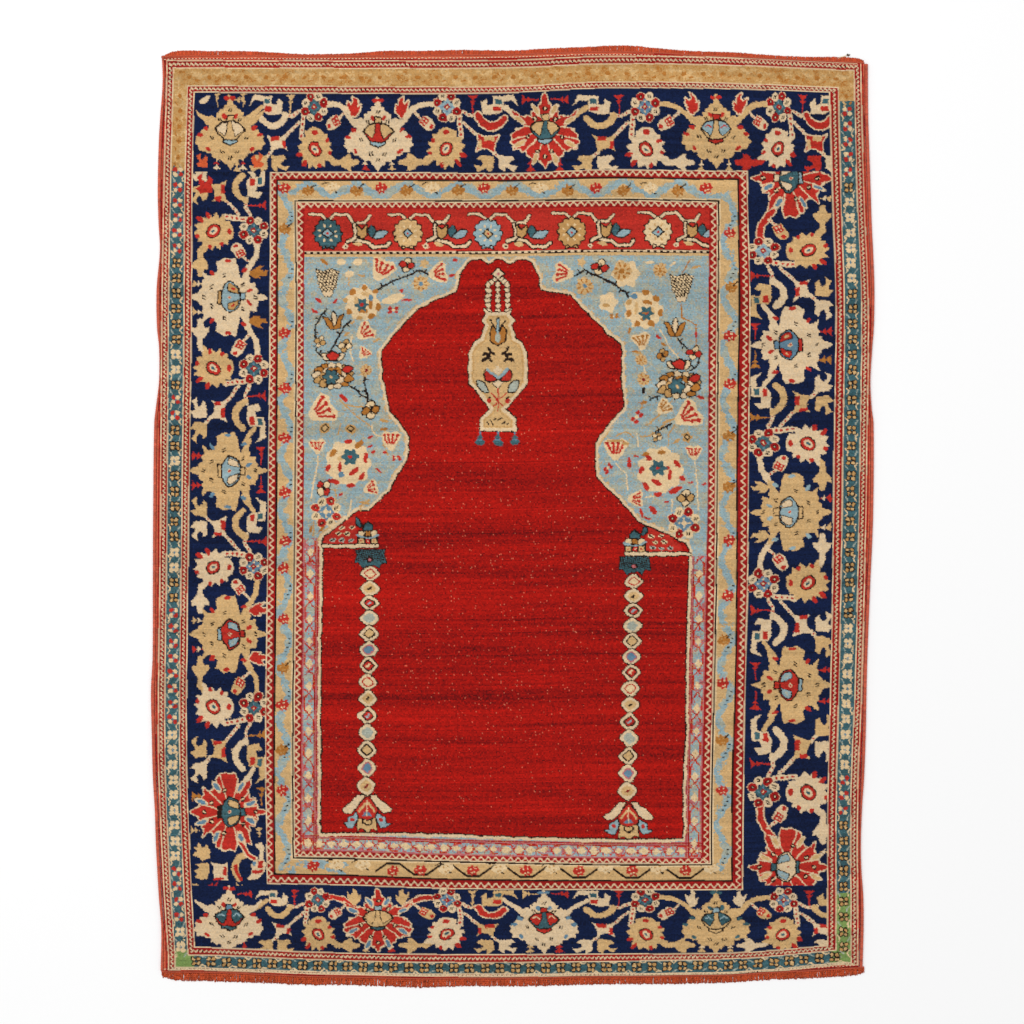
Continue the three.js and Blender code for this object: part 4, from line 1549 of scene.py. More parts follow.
@dataclass
class RosePanel:
    """The red cross panel above the niche, with five round flowers, vases and brackets."""

    upper: float = 209.8
    lower: float = 249.6
    pitch: float = 82.0

    def weave(self, chart: Chart) -> None:
        """Draws the panel.

        Args:
            chart: the chart.
        """
        rise = np.interp(chart.c, (304, 500, 560, 620, 710), (1.4, 1.2, 0.0, -0.6, 0.4))
        inside = chart.zone == Zone.INSIDE
        r = chart.r - rise
        chart.yarn[inside & (r < self.lower + 6)] = Yarn.GOLD
        chart.yarn[inside & (r < self.lower + 3.4)] = Yarn.DARK
        line = inside & (r < self.lower + 2.6) & (r > self.lower + 0.4)
        chart.yarn[line] = Yarn.IVORY
        chart.yarn[line & (chart.c / 6.6 % 1 < 0.45) & (r > self.lower + 1)] = Yarn.DARK
        chart.yarn[inside & (r < self.lower)] = Yarn.ROSE
        chart.zone[inside & (r < self.lower)] = Zone.PANEL
        chart.zone[inside & (r >= self.lower + 6)] = Zone.GROUND
        wools = ((327.8, Yarn.TEAL), (407.8, Yarn.GOLD), (487.8, Yarn.SKY), (571.6, Yarn.TAN),
            (658, Yarn.CREAM))
        for c, wool in wools:
            lift = float(np.interp(c, (304, 500, 560, 620, 710), (1.4, 1.2, 0.0, -0.6, 0.4)))
            self.repeat(chart, Place(c, 230 + lift), wool)

    def repeat(self, chart: Chart, place: Place, wool: Yarn) -> None:
        """One round flower and what stands beside it.

        Args:
            chart: the chart.
            place: the flower's middle.
            wool: its petals' wool.
        """
        pen = chart.pen(place, 75, Zone.PANEL)
        bracket = [(-19, 17), (-7, 17), (0, 10.5), (7, 17), (19, 17), (26, 9), (37, 9), (42, 16)]
        pen.line([(u, v - 0.2) for u, v in bracket], 4.0, Yarn.DARK)
        pen.line([(u, v - 0.2) for u, v in bracket], 2.3, Yarn.IVORY)
        pen.line([(24, -8), (39, -10.5), (46, -16), (58, -15), (62, -11)], 2.6, Yarn.IVORY, Yarn.DARK)
        pen.line([(27, 7), (28, -6), (20, -10)], 2.6, Yarn.IVORY, Yarn.DARK)
        pen.area([(29, 6), (34, 1), (39, 6), (38, -4), (34, -7), (30, -4)], Yarn.TAN, Yarn.DARK)
        pen.leaf((44, 6), (44, -6), 7, Yarn.TEAL, Yarn.DARK)
        pen.leaf((45, -6), (60, 0), 6.5, Yarn.SKY, Yarn.DARK)
        pen.leaf((26, -12), (36, -14), 4.5, Yarn.GOLD)
        pen.oval(18, -15, 5.5, 5.5, Yarn.IVORY)
        pen.oval(18, -15, 2, 2, Yarn.DARK)
        pen.area([(-3.5, -12), (3.5, -12), (5.5, -17.5), (0, -15.5), (-5.5, -17.5)], wool, Yarn.DARK)
        pen.flower(0, -2, 13.4, 0.9, 12, wool, Yarn.DARK)
        for k in range(8):
            angle = math.radians(22.5 + 45 * k)
            pale = (8.6 * math.cos(angle), 7.6 * math.sin(angle) - 2)
            pen.oval(*pale, 3.2, 2, Yarn.CREAM if wool != Yarn.CREAM else Yarn.TAN, None, 22.5 + 45 * k)
        pen.lozenge(0, -2, 9, 8.4, Yarn.SKY if wool != Yarn.SKY else Yarn.GOLD, Yarn.DARK)
        pen.oval(0, -2, 2.4, 2.4, Yarn.ROSE)


@dataclass
class Niche:
    """The red prayer niche, its columns, shelves and lamp."""

    left_column: tuple[float, float, float, float] = (370, 573.6, 366.5, 786)
    right_column: tuple[float, float, float, float] = (634, 581.7, 627.5, 791)
    diamonds: int = 14

    def outline(self) -> list[Point]:
        """The niche's outline, clockwise from the left of its top."""
        left = [(322, 545), (324, 537), (342, 524), (359, 511), (370, 511), (390, 492), (397, 478),
            (409, 458)]
        left += [(410, 437), (402, 424), (390, 410), (384, 378), (382, 352), (397, 333), (419, 309)]
        left += [(457, 292), (462, 272), (472, 261)]
        top = [(481, 260.5), (488.7, 266), (496, 261), (502, 261), (509, 266), (518, 260.5), (531, 262)]
        right = [(537, 275), (540, 291), (570, 296), (587, 314), (609, 336), (621, 345), (621, 380)]
        right += [(623, 407), (609, 422), (594.5, 443), (594.5, 477), (617, 499), (638, 523), (654, 529)]
        right += [(685, 544), (688.5, 550), (686.5, 610), (685, 670), (684.5, 730), (682, 790), (682.5, 838)]
        bottom = [(620, 838.5), (560, 837), (500, 835.5), (440, 832.8), (380, 831.8), (322, 832)]
        return left + top + right + bottom + [(321.8, 730), (322, 670), (322.8, 610), (324, 550)]

    def weave(self, chart: Chart) -> None:
        """Draws the red ground and its outline.

        Args:
            chart: the chart.
        """
        pen = chart.sheet_pen(Zone.GROUND)
        distance = pen.area_distance(self.outline())
        steps = np.round((chart.c + chart.r) / 6.2) % 2 == 0
        pen.put((distance < 5.4) & steps & (chart.r < 545), Yarn.GOLD)
        pen.put(distance < 4.0, Yarn.IVORY)
        pen.put(distance < 1.3, Yarn.DARK)
        pen.put(distance < 0, Yarn.RED)
        chart.zone[(distance < 0) & (chart.zone == Zone.GROUND)] = Zone.FIELD
        self.worn(chart)

    def worn(self, chart: Chart) -> None:
        """Pale specks where the red pile is worn to the knot's root, in short runs along the rows.

        Args:
            chart: the chart.
        """
        starts = chart.dice.random(chart.yarn.shape)
        thin = 0.0016 + 0.0052 * np.exp(-(((chart.c - 500) / 110) ** 2) - ((chart.r - 620) / 190) ** 2)
        worn = starts < thin
        worn |= np.roll(worn, 1, axis=0) & (chart.dice.random(chart.yarn.shape) < 0.5)
        chart.yarn[worn & (chart.zone == Zone.FIELD)] = Yarn.WORN

    def fittings(self, chart: Chart) -> None:
        """Draws the columns, their shelves and bases, and the lamp.

        Args:
            chart: the chart.
        """
        self.shelf(chart, (323, 377), 546, 1)
        self.shelf(chart, (626, 689), 554, -1)
        self.column(chart, self.left_column, 558)
        self.column(chart, self.right_column, 565)
        self.base(chart, Place(367, 808))
        self.base(chart, Place(628.5, 815))
        self.lamp(chart, Place(498, 355))

    def shelf(self, chart: Chart, span: Point, r: float, way: int) -> None:
        """The ledge on a column, with dots on the red above it and a small turret at its inner end.

        Args:
            chart: the chart.
            span: the ledge's two ends.
            r: its height on the chart.
            way: 1 where the turret is on the right, -1 on the left.
        """
        pen = chart.sheet_pen(Zone.GROUND, Zone.FIELD)
        pen.line([(span[0], r), (span[1], r)], 5.0, Yarn.DARK)
        pen.line([(span[0], r), (span[1], r)], 3.0, Yarn.IVORY)
        inner = span[1] - 9 if way > 0 else span[0] + 9
        pen = chart.pen(Place(inner, r).at(0, 0, 0, 1, way < 0), 60, Zone.FIELD)
        pen.area([(-48, 2.6), (-46, 9), (-26, 24), (-12, 30), (-10.5, 2.6)], Yarn.ROSE)
        rows = ((6, Yarn.MIST, (-35.5, -26.5, -17.5)), (12, Yarn.CREAM, (-29.3, -20.6)),
            (18, Yarn.CREAM, (-26, -16)))
        for v, wool, places in rows:
            for u in places:
                pen.oval(u, v, 6.4, 3.8, wool, None, 12)
                pen.line([(u - 1.6, v - 1), (u + 1.6, v + 1)], 1.5, Yarn.DARK)
        pen.area([(-11, 2), (-11, 9), (-9.5, 16), (9.5, 16), (11, 9), (10, 2)], Yarn.DARK)
        for u, wool in ((-6.6, Yarn.GOLD), (0, Yarn.ROSE), (6.6, Yarn.GOLD)):
            pen.block(u, 5, 4.8, 5, wool)
            pen.oval(u, 5, 1.8, 1.8, Yarn.ROSE if wool == Yarn.GOLD else Yarn.CREAM)
        for side in (-1, 1):
            pen.oval(side * 6.4, 12.6, 6.2, 5.4, Yarn.CREAM)
            pen.oval(side * 4.2, 15, 4, 3, Yarn.CREAM)
            pen.line([(0, 8.6), (side * 6, 9.4), (side * 10.8, 10.8)], 2.0, Yarn.SKY)
        pen.block(0, 12.8, 5, 5, Yarn.OCHRE, Yarn.DARK)
        pen.area([(-4.6, 16), (-4, 20), (0, 23.5), (4, 20), (4.6, 16)], Yarn.TEAL, Yarn.DARK)
        pen.area([(-8, 19), (-11.5, 22), (-11.5, 27.5), (-8.5, 26), (-6.4, 20)], Yarn.TEAL, Yarn.DARK)

    def column(self, chart: Chart, run: tuple[float, float, float, float], capital: float) -> None:
        """A chain of diamonds under a mottled capital.

        Args:
            chart: the chart.
            run: the c and r of the first and last diamonds' middles.
            capital: the r of the capital's middle.
        """
        fills = [
            (Yarn.ROSE, Yarn.CREAM, Yarn.CREAM), (Yarn.GOLD, Yarn.GOLD, Yarn.DARK), (Yarn.DARK, Yarn.ROSE,
                Yarn.SKY),
            (Yarn.MIST, Yarn.MIST, Yarn.MIST), (Yarn.DARK, Yarn.GOLD, Yarn.GOLD), (Yarn.MAUVE, Yarn.SLATE,
                Yarn.SLATE),
            (Yarn.DARK, Yarn.ROSE, Yarn.CREAM),
        ]  # fmt: skip
        last = self.diamonds - 1
        long = run[3] - run[1]
        for k in range(self.diamonds):
            t = 0.89 * k / last + 0.11 * (k / last) ** 2
            high = long * (0.89 + 0.22 * k / last) / last
            pen = chart.pen(Place(run[0] + (run[2] - run[0]) * k / last, run[1] + long * t), 14, Zone.FIELD)
            ring, fill, mark = fills[k % 7]
            pen.block(0, 0, 3.4, high + 2, Yarn.IVORY)
            pen.bead(0, 0, 18.6, high + 0.6, Yarn.IVORY, Yarn.DARK, 1.0)
            if k == last:
                ring, fill, mark = Yarn.GOLD, Yarn.GOLD, Yarn.MAROON
                pen.line([(-2.4, 0), (2.4, 0)], 1.8, mark)
            pen.bead(0, 0, 12.4, high * 0.68, ring)
            pen.bead(0, 0, 9.2, high * 0.49, fill)
            pen.line([(-1.8, -1.1), (0.8, 1.5)], 1.2, mark)
            pen.line([(-0.4, -1.5), (1.8, 1.1)], 1.2, mark)
        pen = chart.pen(Place(run[0] + 0.6, capital), 26, Zone.FIELD)
        right = [(0, 9), (15.4, 9), (14.6, 2), (17, -5.5), (12, -5), (8.4, -11), (4, -8), (0, -8)]
        shape = pen.area_distance(mirrored(right))
        pen.put(shape < 0, Yarn.DARK)
        checks = (np.floor((pen.u + pen.v) / 1.7) + np.floor((pen.u - pen.v) / 2.6)) % 2 == 0
        pen.put((shape < -0.8) & (checks | (pen.v < -3.4)), Yarn.TEAL)
        pen.oval(-0.6, -1.6, 3.6, 3.4, Yarn.MAUVE, Yarn.DARK)

    def base(self, chart: Chart, place: Place) -> None:
        """A column's foot: two long leaves and two small ones round a bud, with a toothed crown below.

        Args:
            chart: the chart.
            place: the bud's middle.
        """
        pen = chart.pen(place, 40, Zone.FIELD)
        crown = [(0, -9), (8, -10), (9, -14), (9.8, -22.6), (6.5, -20.4), (4, -21), (0, -25)]
        pen.area(mirrored(crown), Yarn.GOLD, Yarn.DARK, 0.9)
        pen.oval(0, -13.6, 7.4, 5.4, Yarn.GOLD, Yarn.DARK)
        pen.line([(-1.8, -17.4), (1.8, -17.4)], 1.6, Yarn.DARK)
        leaf = [(9.1, 12.8), (2.8, 12.8), (6.8, 6.2), (10.1, 0.9), (16.7, -5.1), (22.7, -4.6),
            (25.2, -1.6), (18.7, 3.5)]
        small = [(11, -4.5), (9.4, -10), (11.5, -15), (14, -18.8), (19, -18.8), (23.4, -15.5),
            (18.6, -15), (18.6, -9.6), (14, -7.4)]
        for way in (-1, 1):
            pen.area([(way * u, v) for u, v in small], Yarn.SKY, Yarn.DARK, 0.9)
            pen.oval(way * 14.4, -11.4, 4.8, 4, Yarn.ROSE)
            pen.area([(way * u, v) for u, v in leaf], Yarn.IVORY, Yarn.DARK, 0.9)
        pen.area(mirrored([(0, 11.6), (4.5, 7), (10.8, -2), (7.6, -9.4), (0, -11.6)]), Yarn.ROSE,
            Yarn.DARK, 0.9)
        pen.area(mirrored([(0, -3), (5.4, -8)]), Yarn.SLATE)
        for way in (-1, 1):
            pen.line([(way * 1.4, 4.8), (way * 7.4, -3)], 2.2, Yarn.GOLD)
        pen.line([(0, 7.6), (0, -8)], 1.2, Yarn.CREAM)

    def lamp(self, chart: Chart, place: Place) -> None:
        """The hanging lamp, with its chains, flowers and three tassels.

        Args:
            chart: the chart.
            place: the middle of its body.
        """
        pen = chart.pen(place, 100, Zone.FIELD)
        for u, v in ((-6.6, 73), (6.6, 73), (-2.8, 76), (2.8, 76)):
            pen.bead(u, v, 5.2, 5, Yarn.IVORY, Yarn.DARK, 1.0)
        for u in (-9.7, 0, 9.6):
            for k in range(6):
                pen.bead(u, 44.5 + 5.1 * k, 5.2, 5.8, Yarn.IVORY, Yarn.DARK, 1.0)
        pen.lozenge(0, 81, 11, 9.6, Yarn.IVORY, Yarn.DARK)
        pen.oval(0, 81, 2.4, 2, Yarn.MAUVE)
        half = [(0, 43), (9.5, 43), (14, 46), (12, 40.6), (16.8, 34.4), (13.4, 29.5), (17.3, 17.2),
            (23.5, 13)]
        half += [(29.3, 2.3), (29.3, -28.5), (18.3, -41), (7.6, -53.8), (18, -63), (18, -76), (0, -76)]
        body = pen.area_distance(mirrored(half))
        pen.put(body < 1.0, Yarn.DARK)
        pen.put(body < 0, Yarn.IVORY)
        pen.put(body < -3.2, Yarn.GOLD)
        pen.put((body < -4.2) & (body > -5.2), Yarn.TAN)
        pen.area(mirrored([(0, 25), (2.4, 24), (5, 30), (7.6, 22), (6.6, 14), (0, 10.4)]), Yarn.OCHRE,
            Yarn.DARK)
        pen.line([(0, 36), (0, 24)], 4, Yarn.DARK)
        pen.line([(0, 35), (0, 18)], 2.2, Yarn.SKY)
        pen.oval(0, 17.6, 5.4, 9.4, Yarn.MIST)
        marks = ((9, 5.6, 7, 3, 60), (6, 2, 6.4, 3, 20), (12.6, 0.6, 5, 4, 0), (9.4, -0.6, 4, 6, 0),
            (13.6, -5, 7, 4, -30))
        for way in (-1, 1):
            pen.line([(way * 4.6, 29), (way * 7.6, 35)], 1.6, Yarn.DARK)
            for u, v, long, wide, turn in (*marks, (7.4, -5, 6, 2.6, 60)):
                pen.oval(way * u, v, long, wide, Yarn.DARK, None, way * turn)
            pen.oval(way * 10, 2.4, 2, 1.6, Yarn.GOLD)
            lobe = [(2, -25), (6, -20), (11.6, -15.4), (13.4, -19), (12.6, -25), (8, -26)]
            pen.area([(way * u, v) for u, v in lobe], Yarn.ROSE, Yarn.DARK)
            pen.line([(0, -23), (way * 10.4, -14.2)], 2.6, Yarn.SKY)
            pen.leaf((way * 10.4, -37.4), (way * 21, -26), 7, Yarn.MIST, Yarn.DARK)
            pen.line([(0, -45), (way * 7.6, -38.6)], 1.2, Yarn.ROSE)
            pen.line([(way * 1.6, -47.6), (way * 5, -51)], 1.2, Yarn.ROSE)
            pen.oval(way * 9.4, -45.6, 5.6, 4, Yarn.ROSE, None, way * 25)
            pen.oval(way * 9, -43, 4, 1.5, Yarn.DARK, None, way * 25)
            pen.line([(way * 5, -68.6), (way * 7.4, -66)], 1.4, Yarn.DARK)
            pen.line([(way * 9, -69), (way * 10.4, -67.4)], 1.3, Yarn.DARK)
        pen.lozenge(0, -15.4, 10, 10.4, Yarn.IVORY)
        pen.area(mirrored([(0, -24.6), (4.6, -28), (0, -33.6)]), Yarn.IVORY, Yarn.DARK, 0.9)
        pen.line([(0, -33.6), (0, -56)], 1.2, Yarn.ROSE)
        pen.oval(0, -45, 3.4, 3, Yarn.ROSE)
        pen.line([(-4, -65), (-1.8, -63.4)], 1.6, Yarn.DARK)
        pen.line([(1, -65), (4, -63)], 1.6, Yarn.DARK)
        for u in (-18, 0, 17):
            pen.line([(u, -77), (u, -80)], 1.6, Yarn.SLATE)
            pen.area([(u, -78.6), (u - 3.6, -83.4), (u + 3.6, -83.4)], Yarn.TEAL)
            pen.area([(u, -82), (u - 5.4, -87), (u - 3, -90.4), (u + 3, -90.4), (u + 5.4, -87)], Yarn.TEAL)
            pen.line([(u - 2, -85), (u + 2, -85)], 1.2, Yarn.SLATE)


@dataclass
class InnerGround:
    """The blue ground round the niche: two spandrels of flowers, and strips of crossing lines elsewhere."""

    loop: float = 45.0
    low_loop: float = 25.0

    def weave(self, chart: Chart) -> None:
        """Draws the strips and both spandrels.

        Args:
            chart: the chart.
        """
        uneven = (chart.zone == Zone.GROUND) & (chart.yarn == Yarn.SKY) & (chart.rough > 0.25)
        chart.yarn[uneven] = Yarn.MIST
        specks = (chart.zone == Zone.GROUND) & (chart.dice.random(chart.yarn.shape) < 0.07)
        chart.yarn[specks & np.isin(chart.yarn, (Yarn.SKY, Yarn.MIST))] = Yarn.TAN
        self.strips(chart)
        self.left_spandrel(chart)
        self.right_spandrel(chart)

    def strips(self, chart: Chart) -> None:
        """Two rose zigzags that cross on the blue, beside thin red and mauve lines.

        Args:
            chart: the chart.
        """
        left = smooth_through(LEFT_LINES[:, 0], LEFT_LINES[:, 8], chart.r)
        right = smooth_through(RIGHT_LINES[:, 0], RIGHT_LINES[:, 8], chart.r)
        bottom = smooth_through(BOTTOM_LINES[:, 0], BOTTOM_LINES[:, 8], chart.c)
        on_left = (chart.c - left < 17) & (chart.r > 538)
        on_right = (right - chart.c < 17) & (chart.r > 556)
        on_bottom = bottom - chart.r < 16
        for where, depth, along, loop in (
            (on_left, chart.c - left, chart.r, self.loop),
            (on_right, right - chart.c, chart.r, self.loop),
            (on_bottom, bottom - chart.r, chart.c, self.low_loop),
        ):
            strip = where & (chart.zone == Zone.GROUND) & np.isin(chart.yarn,
                (Yarn.SKY, Yarn.MIST, Yarn.MAUVE))
            chart.yarn[strip & (chart.rough < -0.55)] = Yarn.MAUVE
            chart.yarn[strip & ((depth < 1.5) | (depth > 12.8))] = Yarn.MAUVE
            chart.yarn[strip & ((np.abs(depth - 12.6) < 0.5) | (np.abs(depth - 15) < 0.6))] = Yarn.CRIMSON
            wave = np.clip(ripple(along + 2 * chart.rough, loop, 7) * 9.5, -4.6, 4.6)
            across = depth - 7
            inside = strip & (np.abs(across) < 5.4)
            near_middle = np.abs((along / loop * 2) % 1 - 0.5) * loop * 0.3
            spots = np.abs(across) / 1.2 + near_middle < 3.2 + chart.rough
            chart.yarn[inside & spots] = Yarn.CREAM
            chart.yarn[inside & (np.abs(across - wave) < 0.9)] = Yarn.ROSE
            chart.yarn[inside & (np.abs(across + wave) < 0.9) & (np.abs(wave) < 4.5)] = Yarn.ROSE

    def spot(self, chart: Chart, c: float, r: float, turn: float = 0.0, size: float = 1.0) -> Pen:
        """A pen that stays on the blue ground."""
        return chart.pen(Place(c, r).at(0, 0, turn, size), 34, Zone.GROUND)

    def fan(self, pen: Pen, body: Yarn, stripe: Yarn) -> None:
        """A fan-shaped blossom that opens upwards, 24 wide, with four ragged stripes.

        Args:
            pen: the pen.
            body: its wool.
            stripe: the stripes' wool.
        """
        pen.area([(-12, 6), (-7, 10), (0, 8), (7, 10), (12, 6), (8, -3), (2.5, -11), (-2.5, -11),
            (-8, -3)], body)
        for far, near in ((-8.4, -3), (-2.9, -1), (2.9, 1), (8.4, 3)):
            pen.line([(near, -4), (far, 6)], 1.9, stripe)
            pen.oval(far * 0.95, 5.2, 4, 3, stripe)
            pen.oval((near + far) / 2, 0.6, 2.8, 3, stripe)

    def brown_tulip(self, pen: Pen) -> None:
        """A brown flower of two curling petals round a pale one, 22 wide."""
        for way in (-1, 1):
            petal = [(0, -9), (5, -7.5), (8, -1), (11, 6), (6.4, 4.6), (3.6, -1), (0, -4)]
            pen.area([(way * u, v) for u, v in petal], Yarn.OCHRE, Yarn.DARK, 0.9)
        pen.leaf((0, -5), (0.5, 10), 5, Yarn.IVORY, Yarn.DARK)

    def grapes(self, pen: Pen) -> None:
        """A bunch of grapes, 26 wide: a pointed fan of slanting pale and dark dashes."""
        fan = pen.area_distance([(-12, 15), (-4, 12), (4, 15), (12.5, 12), (9, -3), (3.6, -14),
            (-3.6, -14), (-9, -3)])
        pen.put(fan < 0, Yarn.DARK)
        row = np.floor(pen.v / 2.5)
        dashes = ((pen.u + pen.v * 0.5 + row * 1.3) / 3.4 % 1 < 0.58) & (pen.v / 2.5 % 1 > 0.2)
        pen.put((fan < -0.4) & dashes, Yarn.CREAM)
        pen.put((fan < -0.6) & (pen.v < -9), Yarn.IVORY)

    def outlined(self, pen: Pen, one: Yarn, two: Yarn) -> None:
        """A small flower of four petals with dark edges, 14 wide."""
        for u, v, wool in ((-3.2, -2.7, one), (3.2, 2.7, one), (-3.2, 2.7, two), (3.2, -2.7, two)):
            pen.oval(u, v, 6.4, 5.2, wool, Yarn.DARK, 0, 0.9)
        pen.line([(-2.6, -2), (2.6, 2)], 1.2, Yarn.DARK)

    def gold_flower(self, pen: Pen, heart: Yarn) -> None:
        """A round flower of eight gold petals with ochre between them, 17 wide."""
        pen.flower(0, 0, 7.6, 0.9, 8, Yarn.GOLD)
        for k in range(8):
            angle = math.radians(22.5 + 45 * k)
            pen.oval(5.4 * math.cos(angle), 5 * math.sin(angle), 4.2, 1.5, Yarn.OCHRE, None, 22.5 + 45 * k)
        pen.oval(0, 0, 4, 4, heart)

    def four_dots(self, pen: Pen, wool: Yarn) -> None:
        """A small flower of four dots round a pale one, 12 wide."""
        for u, v in ((-3.4, -1.9), (3.4, 1.9), (-3.4, 1.9), (3.4, -1.9)):
            pen.oval(u, v, 4.4, 3.6, wool)
        pen.oval(0, 0, 3, 3, Yarn.CREAM)

    def rosette(self, pen: Pen, radius: float, heart: Point, blots: list[tuple]) -> None:
        """A large pale flower with many blots of colour round a teal heart.

        Args:
            pen: the pen.
            radius: its radius.
            heart: the heart's middle.
            blots: each blot's place, length, width, turn and wool.
        """
        pen.flower(0, 0, radius - 1.6, 1.5, 9, Yarn.CREAM)
        for u, v, long, wide, turn, wool in blots:
            pen.oval(u, v, long, wide, wool, None, turn)
        pen.flower(heart[0], heart[1], radius * 0.31, 1.5, 6, Yarn.TEAL)
        pen.oval(heart[0], heart[1], 4, 2.8, Yarn.ROSE)

    def bouquet(self, pen: Pen) -> None:
        """A dark-edged bunch of small leaves round a teal star, 44 wide, with a red and white cap."""
        leaves = (Yarn.OCHRE, Yarn.IVORY, Yarn.TAN, Yarn.IVORY, Yarn.OCHRE, Yarn.CREAM, Yarn.TAN)
        for ring, count in ((1.0, 13), (0.62, 8)):
            for k in range(count):
                angle = math.radians(360 / count * k + 12 * ring)
                away = (21 * ring * math.cos(angle), 13.5 * ring * math.sin(angle) - 2)
                near = (away[0] * 0.5, away[1] * 0.5)
                pen.leaf(near, away, 7.4, leaves[(k * 3 + count) % 7], Yarn.DARK)
        pen.leaf((10, 3), (20, 6), 6, Yarn.ROSE, Yarn.DARK)
        pen.flower(-2, -3, 6.4, 1.4, 6, Yarn.TEAL, Yarn.DARK)
        pen.oval(-2, -3, 3, 2.6, Yarn.GOLD)
        for way in (-1, 1):
            pen.leaf((way * 2, 14), (way * 11, 20), 6, Yarn.IVORY, Yarn.DARK)
        pen.area([(-6, 19), (0, 22), (6, 19), (3, 14), (-3, 14)], Yarn.ROSE, Yarn.DARK)

    def branch(self, chart: Chart, points: list[Point]) -> None:
        """A dark branch with short thorns on alternate sides.

        Args:
            chart: the chart.
            points: its corners, in chart places.
        """
        pen = chart.sheet_pen(Zone.GROUND)
        pen.line(points, 1.9, Yarn.DARK)
        for k, ((c0, r0), (c1, r1)) in enumerate(zip(points, points[1:])):
            long = math.hypot(c1 - c0, r1 - r0)
            way = 3.4 if k % 2 else -3.4
            middle = ((c0 + c1) / 2, (r0 + r1) / 2)
            pen.line([middle, (middle[0] - way * (r1 - r0) / long, middle[1] + way * (c1 - c0) / long)],
                1.3, Yarn.DARK)

    def stems(self, chart: Chart, lines: list[list[Point]], wool: Yarn) -> None:
        """Thin pale stems.

        Args:
            chart: the chart.
            lines: the corners of each, in chart places.
            wool: their wool.
        """
        pen = chart.sheet_pen(Zone.GROUND)
        for line in lines:
            pen.line(line, 1.4, wool)

    def specks(self, chart: Chart, places: list[tuple]) -> None:
        """Small slanting leaves.

        Args:
            chart: the chart.
            places: each one's place, length, width, turn and wool.
        """
        for c, r, long, wide, turn, wool in places:
            self.spot(chart, c, r).oval(0, 0, long, wide, wool, None, turn)

    def left_spandrel(self, chart: Chart) -> None:
        """The flowers of the left spandrel.

        Args:
            chart: the chart.
        """
        cream, rose, tan, ochre = Yarn.CREAM, Yarn.ROSE, Yarn.TAN, Yarn.OCHRE
        self.stems(chart, [[(349, 274), (349, 285)], [(340, 400), (352, 412), (362, 421), (373, 428)]], tan)
        self.stems(chart, [[(341, 424), (338, 434)], [(384, 430), (384, 444), (388, 455)],
            [(345, 405), (370, 408)]], tan)
        self.stems(chart, [[(318, 456), (315, 476), (311, 498)], [(352, 500), (350, 510), (346, 522)]], cream)
        self.stems(chart, [[(335, 489), (336, 501)], [(370, 500), (361, 506), (360, 514)],
            [(314, 522), (313, 536)]], tan)
        self.stems(chart, [[(352, 337), (350, 352), (354, 362)], [(372, 425), (374, 434), (382, 436)]], cream)
        self.branch(chart, [(377, 289), (388, 284), (396, 280), (403, 277), (411, 275), (418, 271),
            (421, 270), (427, 275)])
        self.branch(chart, [(327, 309), (321, 316), (316, 325), (315, 340), (317, 352), (321, 356)])
        self.branch(chart, [(351, 320), (343, 328), (337, 340), (332, 348), (331, 356)])
        self.branch(chart, [(366, 374), (364, 384), (367, 396), (369, 404)])
        self.branch(chart, [(350, 386), (358, 391), (366, 398)])
        self.grapes(self.spot(chart, 327.6, 283))
        for u, v in ((-8, 5), (8, 5), (0, -7)):
            self.spot(chart, 349.5, 267).oval(u, v, 9, 7, cream)
        self.spot(chart, 349.5, 267).oval(0, 0, 3, 3, Yarn.DARK)
        self.fan(self.spot(chart, 382, 269, -28, 1.12), cream, rose)
        self.outlined(self.spot(chart, 407, 265, 30), cream, rose)
        self.spot(chart, 424, 263.5).flower(0, 0, 3.6, 0.8, 5, Yarn.GOLD)
        self.gold_flower(self.spot(chart, 420.5, 283.5), Yarn.SLATE)
        self.fan(self.spot(chart, 438, 273, -80, 0.95), cream, rose)
        blots = [(-10, 11, 7, 6, 20, ochre), (2, 15, 6, 5, 0, ochre), (13, 12, 6, 5, 0, ochre),
            (16, -4, 5, 8, 0, ochre)]
        blots += [(9, -13, 8, 6, 20, ochre), (-3, -15, 6, 5, 0, tan), (-13, -9, 6, 6, 0, ochre),
            (-17, 3, 5, 5, 0, tan)]
        blots += [(4, 9, 11, 4, -20, Yarn.GOLD), (8, 0, 4, 13, 0, ochre), (-7, 2, 4, 10, 0, Yarn.GOLD),
            (0, -8, 10, 4, 0, ochre)]
        self.rosette(self.spot(chart, 362.5, 303), 18.5, (-1, -2), blots)
        self.spot(chart, 371, 297.5).oval(0, 0, 5, 5, Yarn.SLATE)
        self.spot(chart, 393, 300).leaf((-12, -3), (12, 5), 9, cream)
        self.four_dots(self.spot(chart, 393, 310), rose)
        self.brown_tulip(self.spot(chart, 334, 321, 8, 0.95))
        self.outlined(self.spot(chart, 319.5, 342, 20, 0.85), cream, tan)
        self.outlined(self.spot(chart, 345, 346, 35, 0.85), tan, cream)
        self.fan(self.spot(chart, 365, 332, -55, 0.85), cream, rose)
        self.fan(self.spot(chart, 364, 353, -40, 0.6), cream, rose)
        self.gold_flower(self.spot(chart, 366, 370, 0, 0.75), Yarn.MAROON)
        self.bouquet(self.spot(chart, 333, 374))
        self.fan(self.spot(chart, 322, 410, -60, 1.3), cream, rose)
        self.outlined(self.spot(chart, 371, 410, 50, 1.2), cream, ochre)
        for c, r in ((324.5, 428.5), (351, 429)):
            self.spot(chart, c, r).oval(0, 0, 11, 10, tan)
            self.spot(chart, c, r).lozenge(0, 0, 5, 5, Yarn.GOLD, Yarn.DARK)
        self.fan(self.spot(chart, 317, 446, 0, 0.72), cream, rose)
